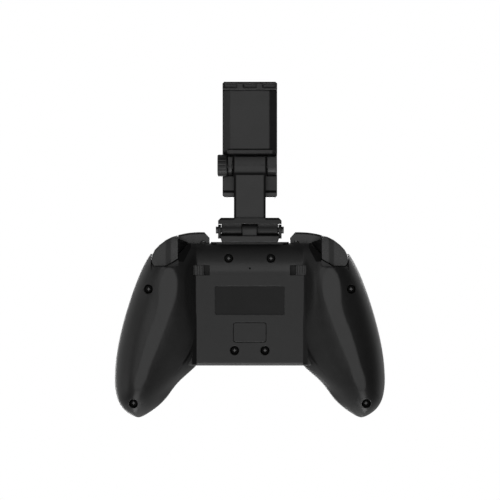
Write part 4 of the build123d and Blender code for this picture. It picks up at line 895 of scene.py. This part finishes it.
# Clamp. The body with the lower jaw tilts on the bolt, and the upper jaw slides in it on a flat tongue
# pulled by a hidden spring. Both are of the same black nylon. Along the foot of the lower jaw a pale band
# is a painted highlight with a black painted-shade line above it, and the back of the body ends in a
# rounded step with a black painted-shade line beyond it.
JAW_LIP, JAW_GROOVE_TOP = 0.0327, 0.0343
STEP_LOW, STEP_HIGH, STEP_SIDE = 0.0550, 0.0575, 0.0135
LIP_HIGHLIGHT = 0.09
clamp_black, clamp, clamp_place, clamp_facing = variant(clip_black, "clamp_black")
clamp_rear = span(clamp, clamp_facing["Z"], -0.3, -0.4)
# Painted highlight: a pale band along the jaw's foot. Painted shade: black lines above it and beyond the
# step.
lip_highlight = span(clamp, clamp_place["Y"], JAW_LIP, JAW_LIP - 0.0005)
paint(clamp_black, in_all(clamp, lip_highlight, clamp_rear), grey(LIP_HIGHLIGHT))
inside_step = span(clamp, maths(clamp, "ABSOLUTE", clamp_place["X"]), STEP_SIDE, STEP_SIDE - 0.0015)
on_step = in_all(clamp, inside_step, within(clamp, clamp_place["Y"], STEP_LOW, STEP_HIGH, 0.0005))
on_cheek = within(clamp, clamp_place["Y"], BARREL_Y, BARREL_Y + BARREL_RADIUS, 0.0008)
turned_back = in_all(clamp, in_any(clamp, on_step, on_cheek), clamp_rear)
turn_normals(clamp_black, turned_back, (0.0, -0.06, -1.0))
groove_line_shade = within(clamp, clamp_place["Y"], JAW_LIP - 0.0002, JAW_GROOVE_TOP, 0.0004)
step_line = within(clamp, clamp_place["Y"], STEP_HIGH - 0.0002, STEP_HIGH + 0.0006, 0.0002)
step_line_shade = in_all(clamp, inside_step, step_line)
paint_shade(clamp_black, in_all(clamp, in_any(clamp, groove_line_shade, step_line_shade), clamp_rear))
dress(clamp_black, "clamp_body")
dress(clip_black, "upper_jaw")

# Tilt knob. A ribbed thumb knob on the bolt's end that locks the tilt, moulded in a matt black whose
# ribs are rubbed pale.
knob_black = moulded("knob_black", grey(0.02), grey(0.028), grey(0.12), 0.42, grain=0.5, soft=0.00025)
dress(knob_black, "tilt_knob")

# Grip pads. Soft black rubber glued to the jaws and to the front of the clamp body, ribbed on the jaws
# so that a phone doesn't slip.
pad_rubber = moulded(
    "pad_rubber", grey(0.014), grey(0.02), grey(0.03), 0.7, grain=0.3, depth=0.00005, soft=0.00015)
dress(pad_rubber, "lower_jaw_pad", "upper_jaw_pad", "back_pad")

# Floor. A pale sheet under the part, seen only from above: from below it is clear, and lamps shine
# through it, so that the underside of the pad can be seen and lit.
FLOOR_RADIUS, FLOOR_Z = 6.0, -0.0002
sheet = bmesh.new()
bmesh.ops.create_circle(
    sheet, cap_ends=True, segments=64, radius=FLOOR_RADIUS, matrix=Matrix.Translation((0, 0, FLOOR_Z)))
floor_mesh = bpy.data.meshes.new("floor")
sheet.to_mesh(floor_mesh)
sheet.free()
floor = bpy.data.objects.new("floor", floor_mesh)
bpy.context.scene.collection.objects.link(floor)
pale_sheet = bpy.data.materials.new("pale_sheet")
pale_sheet.use_nodes = True
floor_tree = pale_sheet.node_tree
floor_shader = floor_tree.nodes["Principled BSDF"]
floor_shader.inputs["Base Color"].default_value = grey(0.8)
floor_shader.inputs["Roughness"].default_value = 0.9
clear = floor_tree.nodes.new("ShaderNodeBsdfTransparent")
one_sided = floor_tree.nodes.new("ShaderNodeMixShader")
from_below = floor_tree.nodes.new("ShaderNodeNewGeometry").outputs["Backfacing"]
floor_tree.links.new(from_below, one_sided.inputs[0])
floor_tree.links.new(floor_shader.outputs[0], one_sided.inputs[1])
floor_tree.links.new(clear.outputs[0], one_sided.inputs[2])
floor_tree.links.new(one_sided.outputs[0], floor_tree.nodes["Material Output"].inputs["Surface"])
floor_mesh.materials.append(pale_sheet)
for ray in ("visible_diffuse", "visible_glossy", "visible_transmission", "visible_shadow"):
    setattr(floor, ray, False)

# Light and background. A white surround that the camera sees plain and that lights softly from above,
# and square lamps: four before the rear, two at its sides, two behind for the rims, and two overhead.
HORIZON_LIGHT, ZENITH_LIGHT = 0.02, 0.5
world = bpy.data.worlds.new("surround")
bpy.context.scene.world = world
world.use_nodes = True
sky = world.node_tree
rays = sky.nodes.new("ShaderNodeLightPath").outputs
seen = in_any(sky, rays["Is Camera Ray"], rays["Is Transmission Ray"])
heights = sky.nodes.new("ShaderNodeSeparateXYZ")
sky.links.new(sky.nodes.new("ShaderNodeTexCoord").outputs["Generated"], heights.inputs[0])
overhead = span(sky, heights.outputs["Z"], 0.0, 0.6, HORIZON_LIGHT, ZENITH_LIGHT)
sky.links.new(in_any(sky, seen, overhead), sky.nodes["Background"].inputs["Strength"])
sky.nodes["Background"].inputs["Color"].default_value = grey(1.0)

LIT_POINT = Vector((0, -0.03, 0.02))
SOFTBOXES = (
    ("front", (0.0, 0.0, -1.3), 0.7, 2.0),
    ("front_left", (0.7, 0.3, -1.0), 0.7, 1.5),
    ("front_low", (0.0, -0.8, -0.9), 0.7, 2.4),
    ("front_top", (0.0, 0.8, -0.9), 0.7, 0.5),
    ("left", (1.2, 0.0, -0.15), 0.7, 1.1),
    ("low", (0.0, -1.2, -0.15), 0.7, 6.5),
    ("left_rim", (0.95, 0.1, 0.6), 0.7, 0.4),
    ("right_rim", (-0.95, 0.1, 0.6), 0.7, 0.5),
    ("top_key", (0.3, -0.25, 1.3), 0.8, 9.0),
    ("top_fill", (-0.3, 0.25, 1.3), 0.8, 5.0),
)
for label, place, width, watts in SOFTBOXES:
    lamp = bpy.data.lights.new(label, "AREA")
    lamp.shape = "SQUARE"
    lamp.size = width
    lamp.energy = watts
    box = bpy.data.objects.new(label, lamp)
    box.location = place
    box.rotation_euler = (LIT_POINT - Vector(place)).to_track_quat("-Z", "Y").to_euler()
    bpy.context.scene.collection.objects.link(box)

# Camera. Square on to the rear of the pad from below, from far enough that little perspective shows.
# The photograph's frame is 287.5 mm wide at the parting of the shells.
FRAME_WIDTH = 0.2875
CAMERA_AWAY = 1.5
SENSOR_WIDTH = 36.0
camera = bpy.data.cameras.new("camera")
camera.sensor_width = SENSOR_WIDTH
camera.lens = SENSOR_WIDTH * CAMERA_AWAY / FRAME_WIDTH
camera.clip_start = 0.05
camera.clip_end = 20.0
eye = bpy.data.objects.new("camera", camera)
eye.location = (-0.0001, -0.0003, PARTING - CAMERA_AWAY)
eye.rotation_euler = (0.0, pi, 0.0)
bpy.context.scene.collection.objects.link(eye)
bpy.context.scene.camera = eye
bpy.context.scene.view_settings.view_transform = "Standard"
